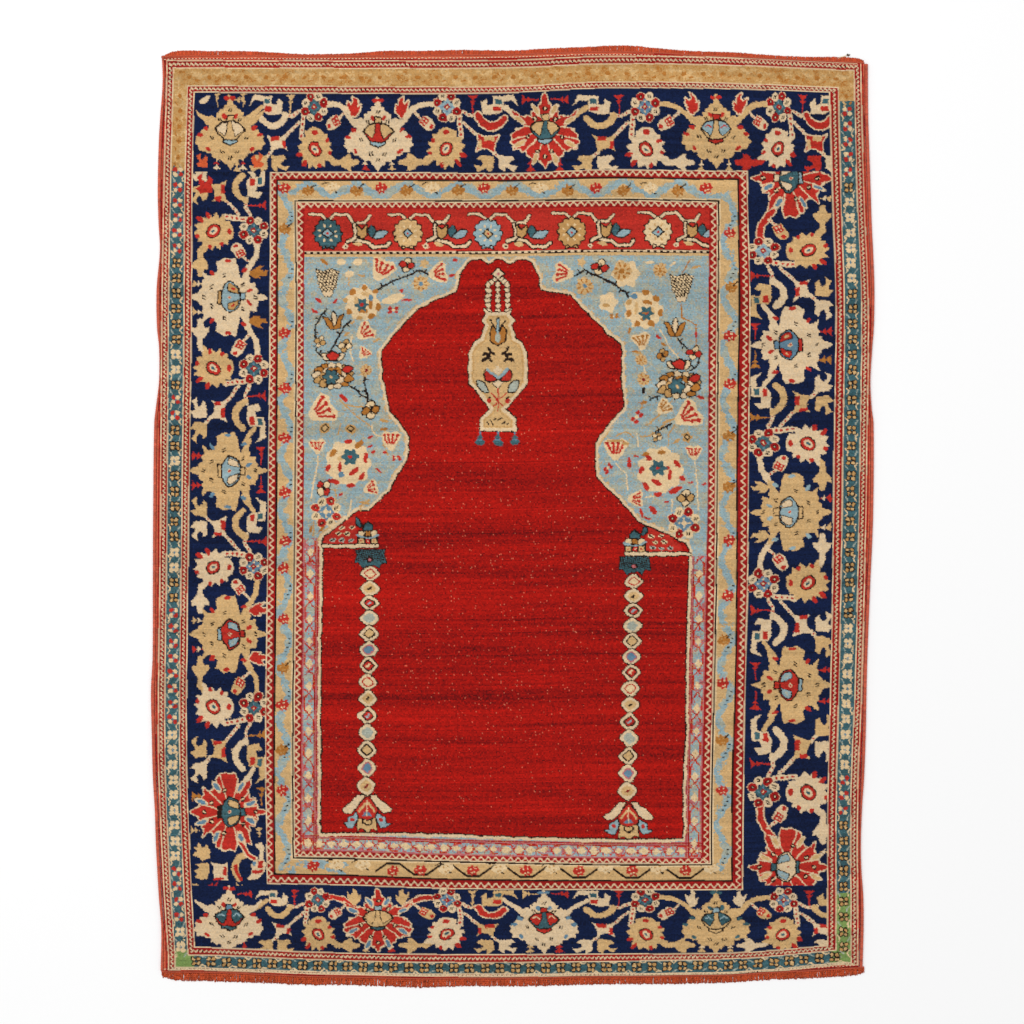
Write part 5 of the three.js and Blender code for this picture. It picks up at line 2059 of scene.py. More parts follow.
        blots = [(0, 22, 8, 5, 0, rose), (11, 18, 10, 5, 40, ochre), (-15, 10, 10, 5, 45, ochre),
            (-7, 5, 8, 5, 20, Yarn.GOLD)]
        blots += [(-8, -4, 4, 11, 0, rose), (6, -8, 12, 4.6, 35, rose), (-7, -12, 6, 6, 0, Yarn.SLATE),
            (18, 5, 5, 10, 0, rose)]
        blots += [(14, -13, 9, 4.6, 60, rose), (-20, -5, 8, 4.6, 60, rose), (-14, -18, 13, 5, -15, rose),
            (3, -22, 9, 5, 0, rose)]
        self.rosette(self.spot(chart, 348, 463), 24, (2, 6), blots)
        self.fan(self.spot(chart, 391, 440, 0, 0.88), cream, rose)
        self.four_dots(self.spot(chart, 397, 458, 0, 0.75), rose)
        self.fan(self.spot(chart, 371, 488, -70, 0.7), cream, rose)
        self.outlined(self.spot(chart, 323.5, 488, 90, 1.05), rose, cream)
        draw_cluster(self.spot(chart, 326, 512, 0, 1.02), cream, rose, Yarn.SLATE, cream)
        marks = [(455, 260, 5, 3, 20, rose), (452, 276, 7, 3, 0, rose), (407, 300, 11, 2.4, 10, rose),
            (402, 291, 4, 3, 0, rose)]
        marks += [(318, 300, 9, 3, -40, rose), (335, 301, 7, 3, 50, rose), (314, 311, 8, 3.4, -30, rose),
            (344, 398, 9, 5, -40, rose)]
        marks += [(370, 437, 6, 2.6, 30, rose), (370, 446, 6, 2.6, 40, rose),
            (373, 452, 5, 2.6, 30, rose), (385, 452, 5, 2.4, -20, rose)]
        marks += [(379, 470, 8, 2.4, -30, rose), (340, 495, 5, 2.4, 30, rose),
            (324, 262, 9, 3.4, -45, ochre), (361, 276, 8, 2.6, -20, tan)]
        marks += [(347, 334, 8, 3, 40, tan), (377, 340, 9, 2.6, 30, tan), (353, 322, 6, 2.6, 40, tan),
            (365, 503, 11, 3, -10, tan)]
        marks += [(384, 421, 11, 3.4, -10, tan), (384, 429, 8, 2.6, 0, ochre),
            (311, 529, 7, 2.6, 80, ochre), (322, 529, 9, 2.6, 40, ochre)]
        self.specks(chart, marks)

    def right_spandrel(self, chart: Chart) -> None:
        """The flowers of the right spandrel.

        Args:
            chart: the chart.
        """
        cream, rose, tan, ochre = Yarn.CREAM, Yarn.ROSE, Yarn.TAN, Yarn.OCHRE
        self.stems(chart, [[(681, 304), (682, 317), (690, 321), (696, 325), (696, 346)],
            [(690, 260), (686, 267), (682, 272)]], ochre)
        self.stems(chart, [[(673, 400), (660, 414), (646, 426)],
            [(690, 414), (668, 421), (650, 436), (640, 437)]], tan)
        self.stems(chart, [[(675, 425), (669, 434), (668, 445)], [(643, 400), (641, 409)],
            [(616, 436), (625, 432), (634, 437)]], tan)
        self.stems(chart, [[(695, 462), (697, 480), (698, 510)], [(616, 463), (626, 474), (628, 490)],
            [(637, 434), (638, 447)]], cream)
        self.stems(chart, [[(660, 329), (668, 345), (680, 360)], [(643, 366), (645, 372)],
            [(672, 500), (672, 511)]], cream)
        self.branch(chart, [(575, 276), (585, 269), (592, 274), (600, 277), (610, 281), (618, 287),
            (625, 292), (629, 297)])
        self.branch(chart, [(677, 339), (682, 344), (687, 348)])
        self.branch(chart, [(699, 358), (697, 366), (690, 370)])
        self.branch(chart, [(655, 432), (662, 428), (671, 424)])
        self.branch(chart, [(660, 396), (653, 398), (650, 400)])
        self.spot(chart, 643.5, 391).block(0, 0, 3.6, 6.6, Yarn.DARK)
        self.spot(chart, 581, 262).flower(0, 0, 4.2, 0.8, 5, Yarn.GOLD)
        self.outlined(self.spot(chart, 600, 267, 30, 1.08), cream, rose)
        self.fan(self.spot(chart, 563, 273, 80, 0.95), cream, rose)
        self.gold_flower(self.spot(chart, 584.5, 286, 0, 1.1), Yarn.SLATE)
        self.spot(chart, 626, 274).flower(0, 0, 13, 1.6, 6, cream)
        self.gold_flower(self.spot(chart, 622, 271, 0, 1.2), ochre)
        self.gold_flower(self.spot(chart, 660, 270, 0, 0.9), ochre)
        self.grapes(self.spot(chart, 681.5, 288))
        blots = [(-9, 13, 6, 6, 0, Yarn.SLATE), (2, 17, 8, 6, 0, ochre), (13, 11, 8, 6, -30, ochre),
            (17, -3, 5, 7, 0, ochre)]
        blots += [(8, -14, 8, 6, 0, ochre), (-6, -14, 6, 6, 0, ochre), (-15, -4, 5, 8, 0, ochre),
            (-14, 7, 7, 5, 30, tan)]
        blots += [(4, 7, 12, 4, -20, ochre), (9, -2, 4, 10, 0, Yarn.GOLD), (-7, 1, 4, 12, 0, Yarn.GOLD),
            (0, -9, 8, 4, 0, ochre)]
        self.rosette(self.spot(chart, 643.5, 309.5), 20, (3, -4), blots)
        self.spot(chart, 608, 302).flower(0, 0, 9, 1.4, 5, cream)
        self.spot(chart, 606, 305).oval(0, 0, 7, 4, tan)
        self.four_dots(self.spot(chart, 614, 316, 0, 0.8), ochre)
        self.brown_tulip(self.spot(chart, 675, 328, 0, 0.98))
        self.outlined(self.spot(chart, 694, 353, 30), cream, rose)
        self.fan(self.spot(chart, 641, 341, 10, 0.85), cream, ochre)
        self.outlined(self.spot(chart, 662.5, 355, 60, 0.85), tan, ochre)
        self.gold_flower(self.spot(chart, 641, 360, 0, 0.75), ochre)
        self.gold_flower(self.spot(chart, 643.5, 379, 0, 0.8), Yarn.MAROON)
        self.bouquet(self.spot(chart, 679, 383, 0, 1.06))
        self.four_dots(self.spot(chart, 637, 417, 50, 1.15), rose)
        self.fan(self.spot(chart, 688, 415, -60, 1.25), cream, rose)
        self.fan(self.spot(chart, 664, 407, -50, 0.75), cream, ochre)
        self.outlined(self.spot(chart, 657, 437, 20, 0.7), tan, cream)
        self.spot(chart, 687, 437).flower(0, 0, 5, 1, 5, tan)
        self.spot(chart, 687, 437).lozenge(0, 0, 3.4, 3.4, Yarn.GOLD, Yarn.DARK)
        self.fan(self.spot(chart, 615.5, 449, 0, 1.05), cream, rose)
        self.spot(chart, 615.5, 441).oval(0, 0, 18, 3, tan)
        self.fan(self.spot(chart, 694, 452, 0, 0.72), cream, rose)
        blots = [(1, 18, 9, 4, 0, ochre), (-15, 16, 8, 4, 10, ochre), (-12, 12, 9, 5, -30, rose),
            (17, 6, 10, 5, -50, rose)]
        blots += [(-19, 0, 5, 9, 0, rose), (9, -5, 4.6, 11, 0, rose), (5, 2, 8, 4, 0, rose),
            (-4, -12, 12, 4.6, -30, rose)]
        blots += [(-15, -16, 9, 5, -60, rose), (22, -8, 7, 5, -40, rose), (15, -20, 15, 5, 20, rose),
            (-3, -24, 9, 5, 0, rose)]
        self.rosette(self.spot(chart, 660.5, 470), 24, (-2.5, 2), blots)
        self.four_dots(self.spot(chart, 608, 468, 45, 0.85), rose)
        self.fan(self.spot(chart, 636, 499, -90, 0.75), cream, rose)
        self.outlined(self.spot(chart, 686, 498, 45, 1.15), cream, tan)
        draw_cluster(self.spot(chart, 684, 523, 0, 1.06), cream, Yarn.CRIMSON, Yarn.SLATE, cream)
        marks = [(629, 463, 4, 10, 0, rose), (636, 456, 5, 2.4, 0, rose), (653, 510, 10, 5, -45, rose),
            (641, 513, 9, 3, -70, rose)]
        marks += [(648, 518, 9, 2.4, -20, rose), (658, 337, 7, 3, -40, rose),
            (663, 344, 6, 2.6, -30, ochre), (696, 335, 6, 3.4, 90, rose)]
        marks += [(691, 482, 6, 2, 10, rose), (703, 484, 6, 2, 30, rose), (666, 502, 6, 2, 10, rose),
            (638, 353, 8, 2.6, 0, tan)]
        marks += [(645, 313, 6, 2, 0, ochre), (630, 330, 7, 3.4, 60, ochre), (635, 352, 6, 2.6, 0, ochre),
            (677, 441, 8, 2.6, 30, tan)]
        marks += [(696, 267, 9, 2.4, 20, tan), (672, 264, 8, 2.4, 30, cream), (650, 262, 9, 3, 0, cream),
            (668, 421, 12, 3, 20, tan)]
        marks += [(625, 444, 7, 3, 0, tan), (650, 497, 8, 2, 10, cream), (700, 397, 7, 2.6, 0, rose),
            (643, 402, 9, 3, 0, ochre)]
        self.specks(chart, marks)


@dataclass(frozen=True)
class WoolFinish:
    """How wool looks: rough, a little sheen, its colour from the knots and uneven from knot to knot."""

    name: str
    roughness: float = 0.95
    sheen: float = 0.05
    specular: float = 0.12
    grain: float = 0.16
    bump: float = 0.25

    def material(self, colour: tuple[int, int, int] | None = None) -> bpy.types.Material:
        """Builds the material.

        Args:
            colour: one plain colour as shown, or None to take the mesh's own colours.

        Returns:
            The material.
        """
        made = bpy.data.materials.new(self.name)
        made.use_nodes = True
        nodes = made.node_tree.nodes
        links = made.node_tree.links
        wool = nodes["Principled BSDF"]
        wool.inputs["Roughness"].default_value = self.roughness
        wool.inputs["Sheen Weight"].default_value = self.sheen
        wool.inputs["Specular IOR Level"].default_value = self.specular
        where = nodes.new("ShaderNodeTexCoord")
        noise = nodes.new("ShaderNodeTexNoise")
        noise.inputs["Scale"].default_value = 420.0
        noise.inputs["Detail"].default_value = 3.0
        links.new(where.outputs["Object"], noise.inputs["Vector"])
        shade = nodes.new("ShaderNodeMapRange")
        shade.inputs["From Min"].default_value = 0.3
        shade.inputs["From Max"].default_value = 0.7
        shade.inputs["To Min"].default_value = 1 - self.grain
        shade.inputs["To Max"].default_value = 1 + self.grain
        links.new(noise.outputs["Fac"], shade.inputs["Value"])
        blend = nodes.new("ShaderNodeVectorMath")
        blend.operation = "SCALE"
        links.new(shade.outputs["Result"], blend.inputs["Scale"])
        if colour is None:
            own = nodes.new("ShaderNodeAttribute")
            own.attribute_name = "yarn"
            links.new(own.outputs["Color"], blend.inputs[0])
        else:
            blend.inputs[0].default_value = tuple(to_linear(colour))
        links.new(blend.outputs["Vector"], wool.inputs["Base Color"])
        raised = nodes.new("ShaderNodeBump")
        raised.inputs["Strength"].default_value = self.bump
        raised.inputs["Distance"].default_value = 0.0006
        links.new(noise.outputs["Fac"], raised.inputs["Height"])
        links.new(raised.outputs["Normal"], wool.inputs["Normal"])
        return made


@dataclass
class Patch:
    """One mesh in the making: joined arrays of corners and faces, with a colour for each face corner."""

    name: str
    points: list[np.ndarray] = field(default_factory=list)
    faces: list[np.ndarray] = field(default_factory=list)
    tones: list[np.ndarray] = field(default_factory=list)
    loose: list[list[int]] = field(default_factory=list)
    count: int = 0

    def add(self, points: np.ndarray, faces: np.ndarray, tones: np.ndarray) -> int:
        """Adds corners and four-sided faces.

        Args:
            points: the corners, one row each.
            faces: four corner numbers a face, counted from this part's first corner.
            tones: one colour for all, one for each face, or one for each face corner, in light.

        Returns:
            The number of this part's first corner.
        """
        first = self.count
        quads = faces.reshape(-1, 4)
        shades = tones if tones.ndim == 3 else tones.reshape(-1, 1, 3)
        self.points.append(points.reshape(-1, 3))
        self.faces.append(quads + first)
        self.tones.append(np.broadcast_to(shades, (len(quads), 4, 3)))
        self.count += len(points.reshape(-1, 3))
        return first

    def build(self, maps: dict[str, np.ndarray] | None = None, smooth: bool = True) -> bpy.types.Object:
        """Makes the object.

        Args:
            maps: texture maps by name, a pair for each face corner.
            smooth: whether its faces are shaded smooth.

        Returns:
            The object, with a colour at each face corner named yarn.
        """
        points = np.concatenate(self.points)
        quads = np.concatenate(self.faces)
        tones = np.concatenate(self.tones)
        sizes = [4] * len(quads) + [len(face) for face in self.loose]
        corners = np.concatenate([quads.ravel()] + [np.array(face) for face in self.loose])
        mesh = bpy.data.meshes.new(self.name)
        mesh.vertices.add(len(points))
        mesh.vertices.foreach_set("co", points.astype(np.float32).ravel())
        mesh.loops.add(len(corners))
        mesh.loops.foreach_set("vertex_index", corners.astype(np.int32))
        mesh.polygons.add(len(sizes))
        starts = np.concatenate([[0], np.cumsum(sizes)[:-1]]).astype(np.int32)
        mesh.polygons.foreach_set("loop_start", starts)
        mesh.polygons.foreach_set("loop_total", np.array(sizes, dtype=np.int32))
        mesh.update(calc_edges=True)
        mesh.validate()
        mesh.polygons.foreach_set("use_smooth", np.full(len(sizes), smooth))
        colour = mesh.attributes.new("yarn", "FLOAT_COLOR", "CORNER")
        shown = np.ones((len(corners), 4), dtype=np.float32)
        shown[: quads.size, :3] = tones.reshape(-1, 3)
        shown[quads.size :, :3] = tones[0, 0]
        colour.data.foreach_set("color", shown.ravel())
        for name, pairs in (maps or {}).items():
            layer = mesh.uv_layers.new(name=name)
            layer.data.foreach_set("uv", pairs.astype(np.float32).ravel())
        made = bpy.data.objects.new(self.name, mesh)
        bpy.context.scene.collection.objects.link(made)
        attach(made, "root")
        return made


def grid_faces(rows: int, columns: int) -> np.ndarray:
    """Four-sided faces over a grid of corners, row after row.

    Args:
        rows: corners down.
        columns: corners across.

    Returns:
        The faces, turned so that they look up where rows run down the chart.
    """
    row, column = np.meshgrid(np.arange(rows - 1), np.arange(columns - 1), indexing="ij")
    first = row * columns + column
    faces = np.stack([first, first + columns, first + columns + 1, first + 1], axis=-1)
    return faces.reshape(-1, 4)


class YarnTones:
    """The colour of every knot: its wool's, uneven in long streaks along the rows and from knot to knot."""

    def __init__(self, chart: Chart) -> None:
        """Works the colours out.

        Args:
            chart: the finished chart.
        """
        dice = np.random.default_rng(SEED + 2)
        wools = np.array([to_linear(DYES[yarn].shown) for yarn in Yarn])
        spread = np.array([DYES[yarn].spread for yarn in Yarn])[chart.yarn]
        streak = self.streaks(dice, 90, 5) * 0.5 + self.streaks(dice, 370, 12) * 0.5
        rows = np.repeat(dice.normal(0, 0.25, (KNOTS_ALONG, 1)), 2, axis=0)
        speck = np.repeat(np.repeat(dice.normal(0, 0.6, (KNOTS_ALONG, KNOTS_ACROSS)), 2, axis=0), 2, axis=1)
        tone = 1 + spread * np.clip(streak + rows + speck, -2.2, 2.4)
        warm = np.clip(np.roll(speck, 37, axis=0), -1.5, 1.5)[..., None] * np.array([0.05, 0.01, -0.05])
        self.colour = wools[chart.yarn] * (tone[..., None] + warm)
        self.colour = np.clip(self.colour, 0.003, 0.95)

    def streaks(self, dice: np.random.Generator, rows: int, columns: int) -> np.ndarray:
        """Smooth random tones, longer across than along.

        Args:
            dice: the random numbers.
            rows: how many random rows.
            columns: how many random columns.

        Returns:
            One value a knot, from about -1.5 to 1.5.
        """
        rough = dice.normal(0, 0.8, (rows, columns))
        across = np.linspace(0, columns - 1, COLUMNS)
        along = np.linspace(0, rows - 1, ROWS)
        wide = np.stack([np.interp(across, np.arange(columns), line) for line in rough])
        return np.stack([np.interp(along, np.arange(rows), wide[:, k]) for k in range(COLUMNS)], axis=1)


@dataclass
class Pile:
    """The knotted pile: one face a knot, in bands across the rug, each closed down to the ground weave."""

    top: float = 0.0051
    foot: float = 0.0015
    uneven: float = 0.00012
    swell: float = 0.00022

    def heights(self, chart: Chart) -> np.ndarray:
        """The height of every corner between knots: the mean of its knots, and a slow swell.

        Args:
            chart: the finished chart.

        Returns:
            One height a corner.
        """
        dice = np.random.default_rng(SEED + 3)
        sunk = np.array([DYES[yarn].sunk for yarn in Yarn])[chart.yarn]
        sunk = sunk.reshape(KNOTS_ALONG, 2, KNOTS_ACROSS, 2).mean(axis=(1, 3))
        knots = self.top - sunk + dice.normal(0, self.uneven, sunk.shape)
        wide = np.pad(knots, 1, mode="edge")
        corners = (wide[:-1, :-1] + wide[1:, :-1] + wide[:-1, 1:] + wide[1:, 1:]) / 4
        row, column = np.meshgrid(np.arange(KNOTS_ALONG + 1), np.arange(KNOTS_ACROSS + 1), indexing="ij")
        slow = np.sin(row / 61 + np.sin(column / 83)) * np.sin(column / 47 + 1.3)
        rim = np.minimum(np.minimum(row, KNOTS_ALONG - row), np.minimum(column, KNOTS_ACROSS - column))
        return corners + self.swell * slow - 0.0006 * np.exp(-rim / 1.2)

    def build(self, chart: Chart, tones: YarnTones, outline: RugOutline) -> list[bpy.types.Object]:
        """Makes the bands.

        Args:
            chart: the finished chart.
            tones: the knots' colours.
            outline: the cloth's outline.

        Returns:
            The bands, from the upper end down.
        """
        across = np.arange(KNOTS_ACROSS + 1) / KNOTS_ACROSS
        along = 1 - np.arange(KNOTS_ALONG + 1) / KNOTS_ALONG
        x, y = outline.cloth(across[None, :], along[:, None])
        corners = np.stack([x, y, self.heights(chart)], axis=-1)
        cells = tones.colour.reshape(KNOTS_ALONG, 2, KNOTS_ACROSS, 2, 3)
        fours = np.stack([cells[:, 0, :, 0], cells[:, 1, :, 0], cells[:, 1, :, 1], cells[:, 0, :, 1]], axis=2)
        finish = WoolFinish("knotted_wool", grain=0.1, bump=0.5).material()
        each = KNOTS_ALONG // BANDS
        bands = []
        for number in range(BANDS):
            rows = slice(number * each, (number + 1) * each + 1)
            knots = fours[number * each : (number + 1) * each]
            band = self.band(f"pile_band_{number + 1}", corners[rows], knots, finish)
            bands.append(band)
        return bands

    def band(self, name: str, corners: np.ndarray, knots: np.ndarray,
        finish: bpy.types.Material) -> bpy.types.Object:
        """Makes one band: its knots, a skirt down to the ground weave and a flat underside.

        Args:
            name: its name.
            corners: the corners' places.
            knots: the knots' colours.
            finish: its material.

        Returns:
            The band.
        """
        rows, columns = corners.shape[:2]
        patch = Patch(name)
        patch.add(corners, grid_faces(rows, columns), knots.reshape(-1, 4, 3))
        index = np.arange(rows * columns).reshape(rows, columns)
        ring = np.concatenate([index[0, :-1], index[:-1, -1], index[-1, :0:-1], index[:0:-1, 0]])
        low = corners.reshape(-1, 3)[ring].copy()
        low[:, 2] = self.foot
        size = len(ring)
        patch.points.append(low)
        foot = rows * columns + np.arange(size)
        skirt = np.stack([ring, np.roll(ring, -1), np.roll(foot, -1), foot], axis=1)
        patch.faces.append(skirt)
        patch.tones.append(np.broadcast_to(to_linear((120, 90, 62)), (size, 4, 3)))
        patch.loose.append(list(foot))
        patch.count += size
        maps = {"OFBake": self.flat_map(rows, columns, size)}
        made = patch.build(maps, smooth=False)
        made.data.materials.append(finish)
        return made

    def flat_map(self, rows: int, columns: int, ring: int) -> np.ndarray:
        """The band's flat map: knots in the upper part, skirt and underside in a strip below.

        Args:
            rows: corners down.
            columns: corners across.
            ring: how many skirt faces there are.

        Returns:
            One pair for each face corner.
        """
        faces = grid_faces(rows, columns)
        column = faces % columns / (columns - 1)
        row = 1 - faces // columns / (rows - 1)
        knots = np.stack([column, 0.03 + 0.97 * row], axis=-1).reshape(-1, 2)
        start = np.arange(ring) / ring
        end = start + 1 / ring
        over = np.full(ring, 0.026)
        under = np.full(ring, 0.016)
        skirt = np.stack([start, over, end, over, end, under, start, under], axis=1).reshape(-1, 2)
        turn = np.arange(ring) * 2 * np.pi / ring
        below = np.stack([0.5 + 0.4 * np.cos(turn), 0.007 - 0.005 * np.sin(turn)], axis=1)
        return np.concatenate([knots, skirt, below])


@dataclass
class GroundWeave:
    """The woven ground under the pile: a thin sheet whose underside shows the pattern between weft ribs."""

    thick: float = 0.0015
    rib: float = 0.00018
    columns: int = 180
    rows: int = 250

    def build(self, tones: YarnTones, outline: RugOutline) -> bpy.types.Object:
        """Makes the sheet.

        Args:
            tones: the knots' colours.
            outline: the cloth's outline.

        Returns:
            The sheet.
        """
        across = np.arange(self.columns + 1) / self.columns
        along = 1 - np.arange(self.rows + 1) / self.rows
        x, y = outline.cloth(across[None, :], along[:, None])
        ribbed = self.rib * (np.arange(self.rows + 1) % 2)[:, None] + 0 * x
        under = np.stack([x, y, ribbed], axis=-1)
        patch = Patch("ground_weave")
        pick_row = (np.arange(self.rows) + 0.5) * ROWS / self.rows
        pick_column = (np.arange(self.columns) + 0.5) * COLUMNS / self.columns
        knots = tones.colour[pick_row.astype(int)][:, pick_column.astype(int)]
        webbed = knots * 0.82 + to_linear((170, 140, 100)) * 0.12
        faces = grid_faces(self.rows + 1, self.columns + 1)[:, ::-1]
        patch.add(under, faces, webbed.reshape(-1, 3))
        index = np.arange((self.rows + 1) * (self.columns + 1)).reshape(self.rows + 1, self.columns + 1)
        ring = np.concatenate([index[0, :-1], index[:-1, -1], index[-1, :0:-1], index[:0:-1, 0]])
        high = under.reshape(-1, 3)[ring].copy()
        high[:, 2] = self.thick
        size = len(ring)
        over = patch.count + np.arange(size)
        patch.points.append(high)
        patch.faces.append(np.stack([over, np.roll(over, -1), np.roll(ring, -1), ring], axis=1))
        patch.tones.append(np.broadcast_to(to_linear((170, 92, 66)), (size, 4, 3)))
        patch.loose.append(list(over[::-1]))
        patch.count += size
        made = patch.build(smooth=False)
        made.data.materials.append(WoolFinish("ground_wool", grain=0.1).material())
        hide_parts("rug_cloth")
        return made


@dataclass
class Overcasting:
    """A long edge: wool wrapped round and round the edge cord."""

    high: float = 0.0044
    rib: float = 0.0036
    ridge: float = 0.00035
    around: int = 8
    steps: int = 3

    def build(self, name: str, node: str, slot: str, left: bool, outline: RugOutline) -> bpy.types.Object:
        """Makes one edge: a flat-bottomed oval moved along the side, swelling once a turn of wool.

        Args:
            name: the object's name.
            node: the solid it stands for.
            slot: not used.
            left: whether it is the left edge.
            outline: the cloth's outline.

        Returns:
            The edge.
        """
        low = float(outline.end(3, np.array([-0.65 if left else 0.65]))[0])
        top = float(outline.end(1, np.array([-0.65 if left else 0.65]))[0])
        ribs = int((top - low) / self.rib)
        y = np.linspace(low, top, ribs * self.steps + 1)
        edge = outline.side(1 if left else 3, y)
        wrap = outline.side(2 if left else 4, y)
        middle = edge + (wrap / 2 if left else -wrap / 2)
        phase = np.arange(len(y)) % self.steps
        swell = np.where(phase == 0, -self.ridge, self.ridge * 0.4)
        dice = np.random.default_rng(SEED + 4 + int(left))
        lump = np.repeat(dice.normal(0, 0.00012, ribs + 1), self.steps)[: len(y)]
        turn = np.arange(self.around) * 2 * np.pi / self.around
        wide = wrap / 2 + np.where(phase == 0, -self.ridge, 0) - 0.0001
        tall = self.high / 2 + swell + lump
        x = middle[:, None] + wide[:, None] * np.cos(turn)
        z = np.maximum(self.high / 2 + tall[:, None] * np.sin(turn), 0.0)
        lean = 0.0011 * np.sin(turn) * (1 if left else -1)
        points = np.stack([x, y[:, None] + lean, z], axis=-1)
        rings, count = points.shape[:2]
        row, column = np.meshgrid(np.arange(rings - 1), np.arange(count), indexing="ij")
        after = (column + 1) % count
        faces = np.stack([row * count + column, row * count + after, (row + 1) * count + after,
            (row + 1) * count + column], axis=-1)
        faces = faces.reshape(-1, 4)[:, ::-1]
        tone = np.repeat(dice.normal(1, 0.1, ribs + 1), self.steps)[: rings - 1]
        patch = Patch(name)
        shade = to_linear((188, 88, 66)) * np.clip(tone, 0.7, 1.35)[:, None]
        patch.add(points, faces, np.repeat(shade, count, axis=0))
        patch.loose.append(list(range(count)))
        patch.loose.append(list(range((rings - 1) * count, rings * count))[::-1])
        made = patch.build()
        made.data.materials.append(WoolFinish(f"{name}_wool", grain=0.14).material())
        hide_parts(node)
        return made


@dataclass
class WarpFringe:
    """The warp ends at one end of the rug: twisted strands side by side on a narrow woven strip."""

    strands: int = 900
    steps: int = 5
    strip: float = 0.003
    high: float = 0.0024
    tip_high: float = 0.0015

    def build(self, name: str, node: str, slot: str, upper: bool, outline: RugOutline) -> bpy.types.Object:
        """Makes one fringe: each strand a three-sided section that tapers and turns towards its tip.

        Args:
            name: the object's name.
            node: the solid it stands for.
            slot: not used.
            upper: whether it is the upper end.
            outline: the cloth's outline.

        Returns:
            The fringe.
        """
        dice = np.random.default_rng(SEED + 6 + int(upper))
        sign = 1.0 if upper else -1.0
        columns = (1, 2) if upper else (3, 4)
        root_x = np.linspace(-0.6455, 0.6455, self.strands)
        root = outline.end(columns[0], root_x) + sign * (outline.gap + self.strip * 0.6)
        uneven = 0.0004 if upper else 0.0007
        tip = outline.end(columns[1], root_x) + dice.normal(0, uneven, self.strands)
        tip = np.where(upper, np.maximum(tip, root + 0.002), np.minimum(tip, root - 0.002))
        lean = dice.normal(0, uneven, self.strands)
        bend = dice.normal(0, 0.0006, self.strands)
        t = np.linspace(0, 1, self.steps)
        x = root_x[:, None] + lean[:, None] * t**1.5 + bend[:, None] * np.sin(np.pi * t)
        y = root[:, None] + (tip - root)[:, None] * t
        wide = (0.0016 - 0.0002 * t)[None, :, None]
        tall = (self.high * 0.5 - (self.high - self.tip_high) * 0.5 * t)[None, :, None]
        turn = np.arange(3) * 2 * np.pi / 3 + np.pi / 2
        twist = (turn[None, None, :] + (3.2 * t[None, :] + dice.random((self.strands, 1)) * 2)[..., None])
        px = x[..., None] + wide * np.cos(twist)
        pz = tall * (1 + np.sin(twist) * 0.98)
        py = np.broadcast_to(y[..., None], px.shape)
        points = np.stack([px, py, pz], axis=-1)
        patch = Patch(name)
        k, row, side = np.meshgrid(np.arange(self.strands), np.arange(self.steps - 1), np.arange(3),
            indexing="ij")
        first = (k * self.steps + row) * 3
        after = (side + 1) % 3
        faces = np.stack([first + side, first + after, first + 3 + after, first + 3 + side],
            axis=-1).reshape(-1, 4)
        if not upper:
            faces = faces[:, ::-1]
        faces = faces[:, ::-1]
        tone = np.clip(dice.normal(1, 0.14, self.strands), 0.6, 1.4)
        shade = to_linear((190, 78, 46) if upper else (200, 84, 46)) * tone[:, None]
        patch.add(points, faces, np.repeat(shade, (self.steps - 1) * 3, axis=0))
        for strand in range(self.strands):
            start = strand * self.steps * 3
            end = start + (self.steps - 1) * 3
            caps = ([start, start + 1, start + 2], [end + 2, end + 1, end])
            patch.loose.extend(cap if upper else cap[::-1] for cap in caps)
        self.web(patch, upper, columns[0], outline, sign)
        made = patch.build()
        made.data.materials.append(WoolFinish(f"{name}_wool", grain=0.2).material())
        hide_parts(node)
        return made

    def web(self, patch: Patch, upper: bool, column: int, outline: RugOutline, sign: float) -> None:
        """The narrow strip that holds the strands' roots.

        Args:
            patch: the fringe's mesh.
            upper: whether it is the upper end.
            column: the end table's column of the cloth's end.
            outline: the cloth's outline.
            sign: 1 at the upper end, -1 at the lower.
        """
        x = np.linspace(-0.647, 0.647, 260)
        near = outline.end(column, x) + sign * outline.gap
        far = near + sign * self.strip
        lift = self.high + 0.00015 * np.sin(np.arange(260) * 2.1)
        profile = [(near, 0 * x), (near, lift), (far, lift), (far, 0 * x)]
        points = np.stack([np.stack([x, y, z], axis=-1) for y, z in profile], axis=1)
        row, side = np.meshgrid(np.arange(259), np.arange(4), indexing="ij")
        after = (side + 1) % 4
        faces = np.stack([row * 4 + side, row * 4 + after, row * 4 + 4 + after, row * 4 + 4 + side], axis=-1)
        faces = faces.reshape(-1, 4)
        if upper:
            faces = faces[:, ::-1]
        faces = faces[:, ::-1]
        first = patch.add(points, faces, to_linear((186, 84, 60)))
        ends = ([first + 3, first + 2, first + 1, first], [first + 259 * 4 + k for k in range(4)])
        patch.loose.extend(end if upper else end[::-1] for end in ends)


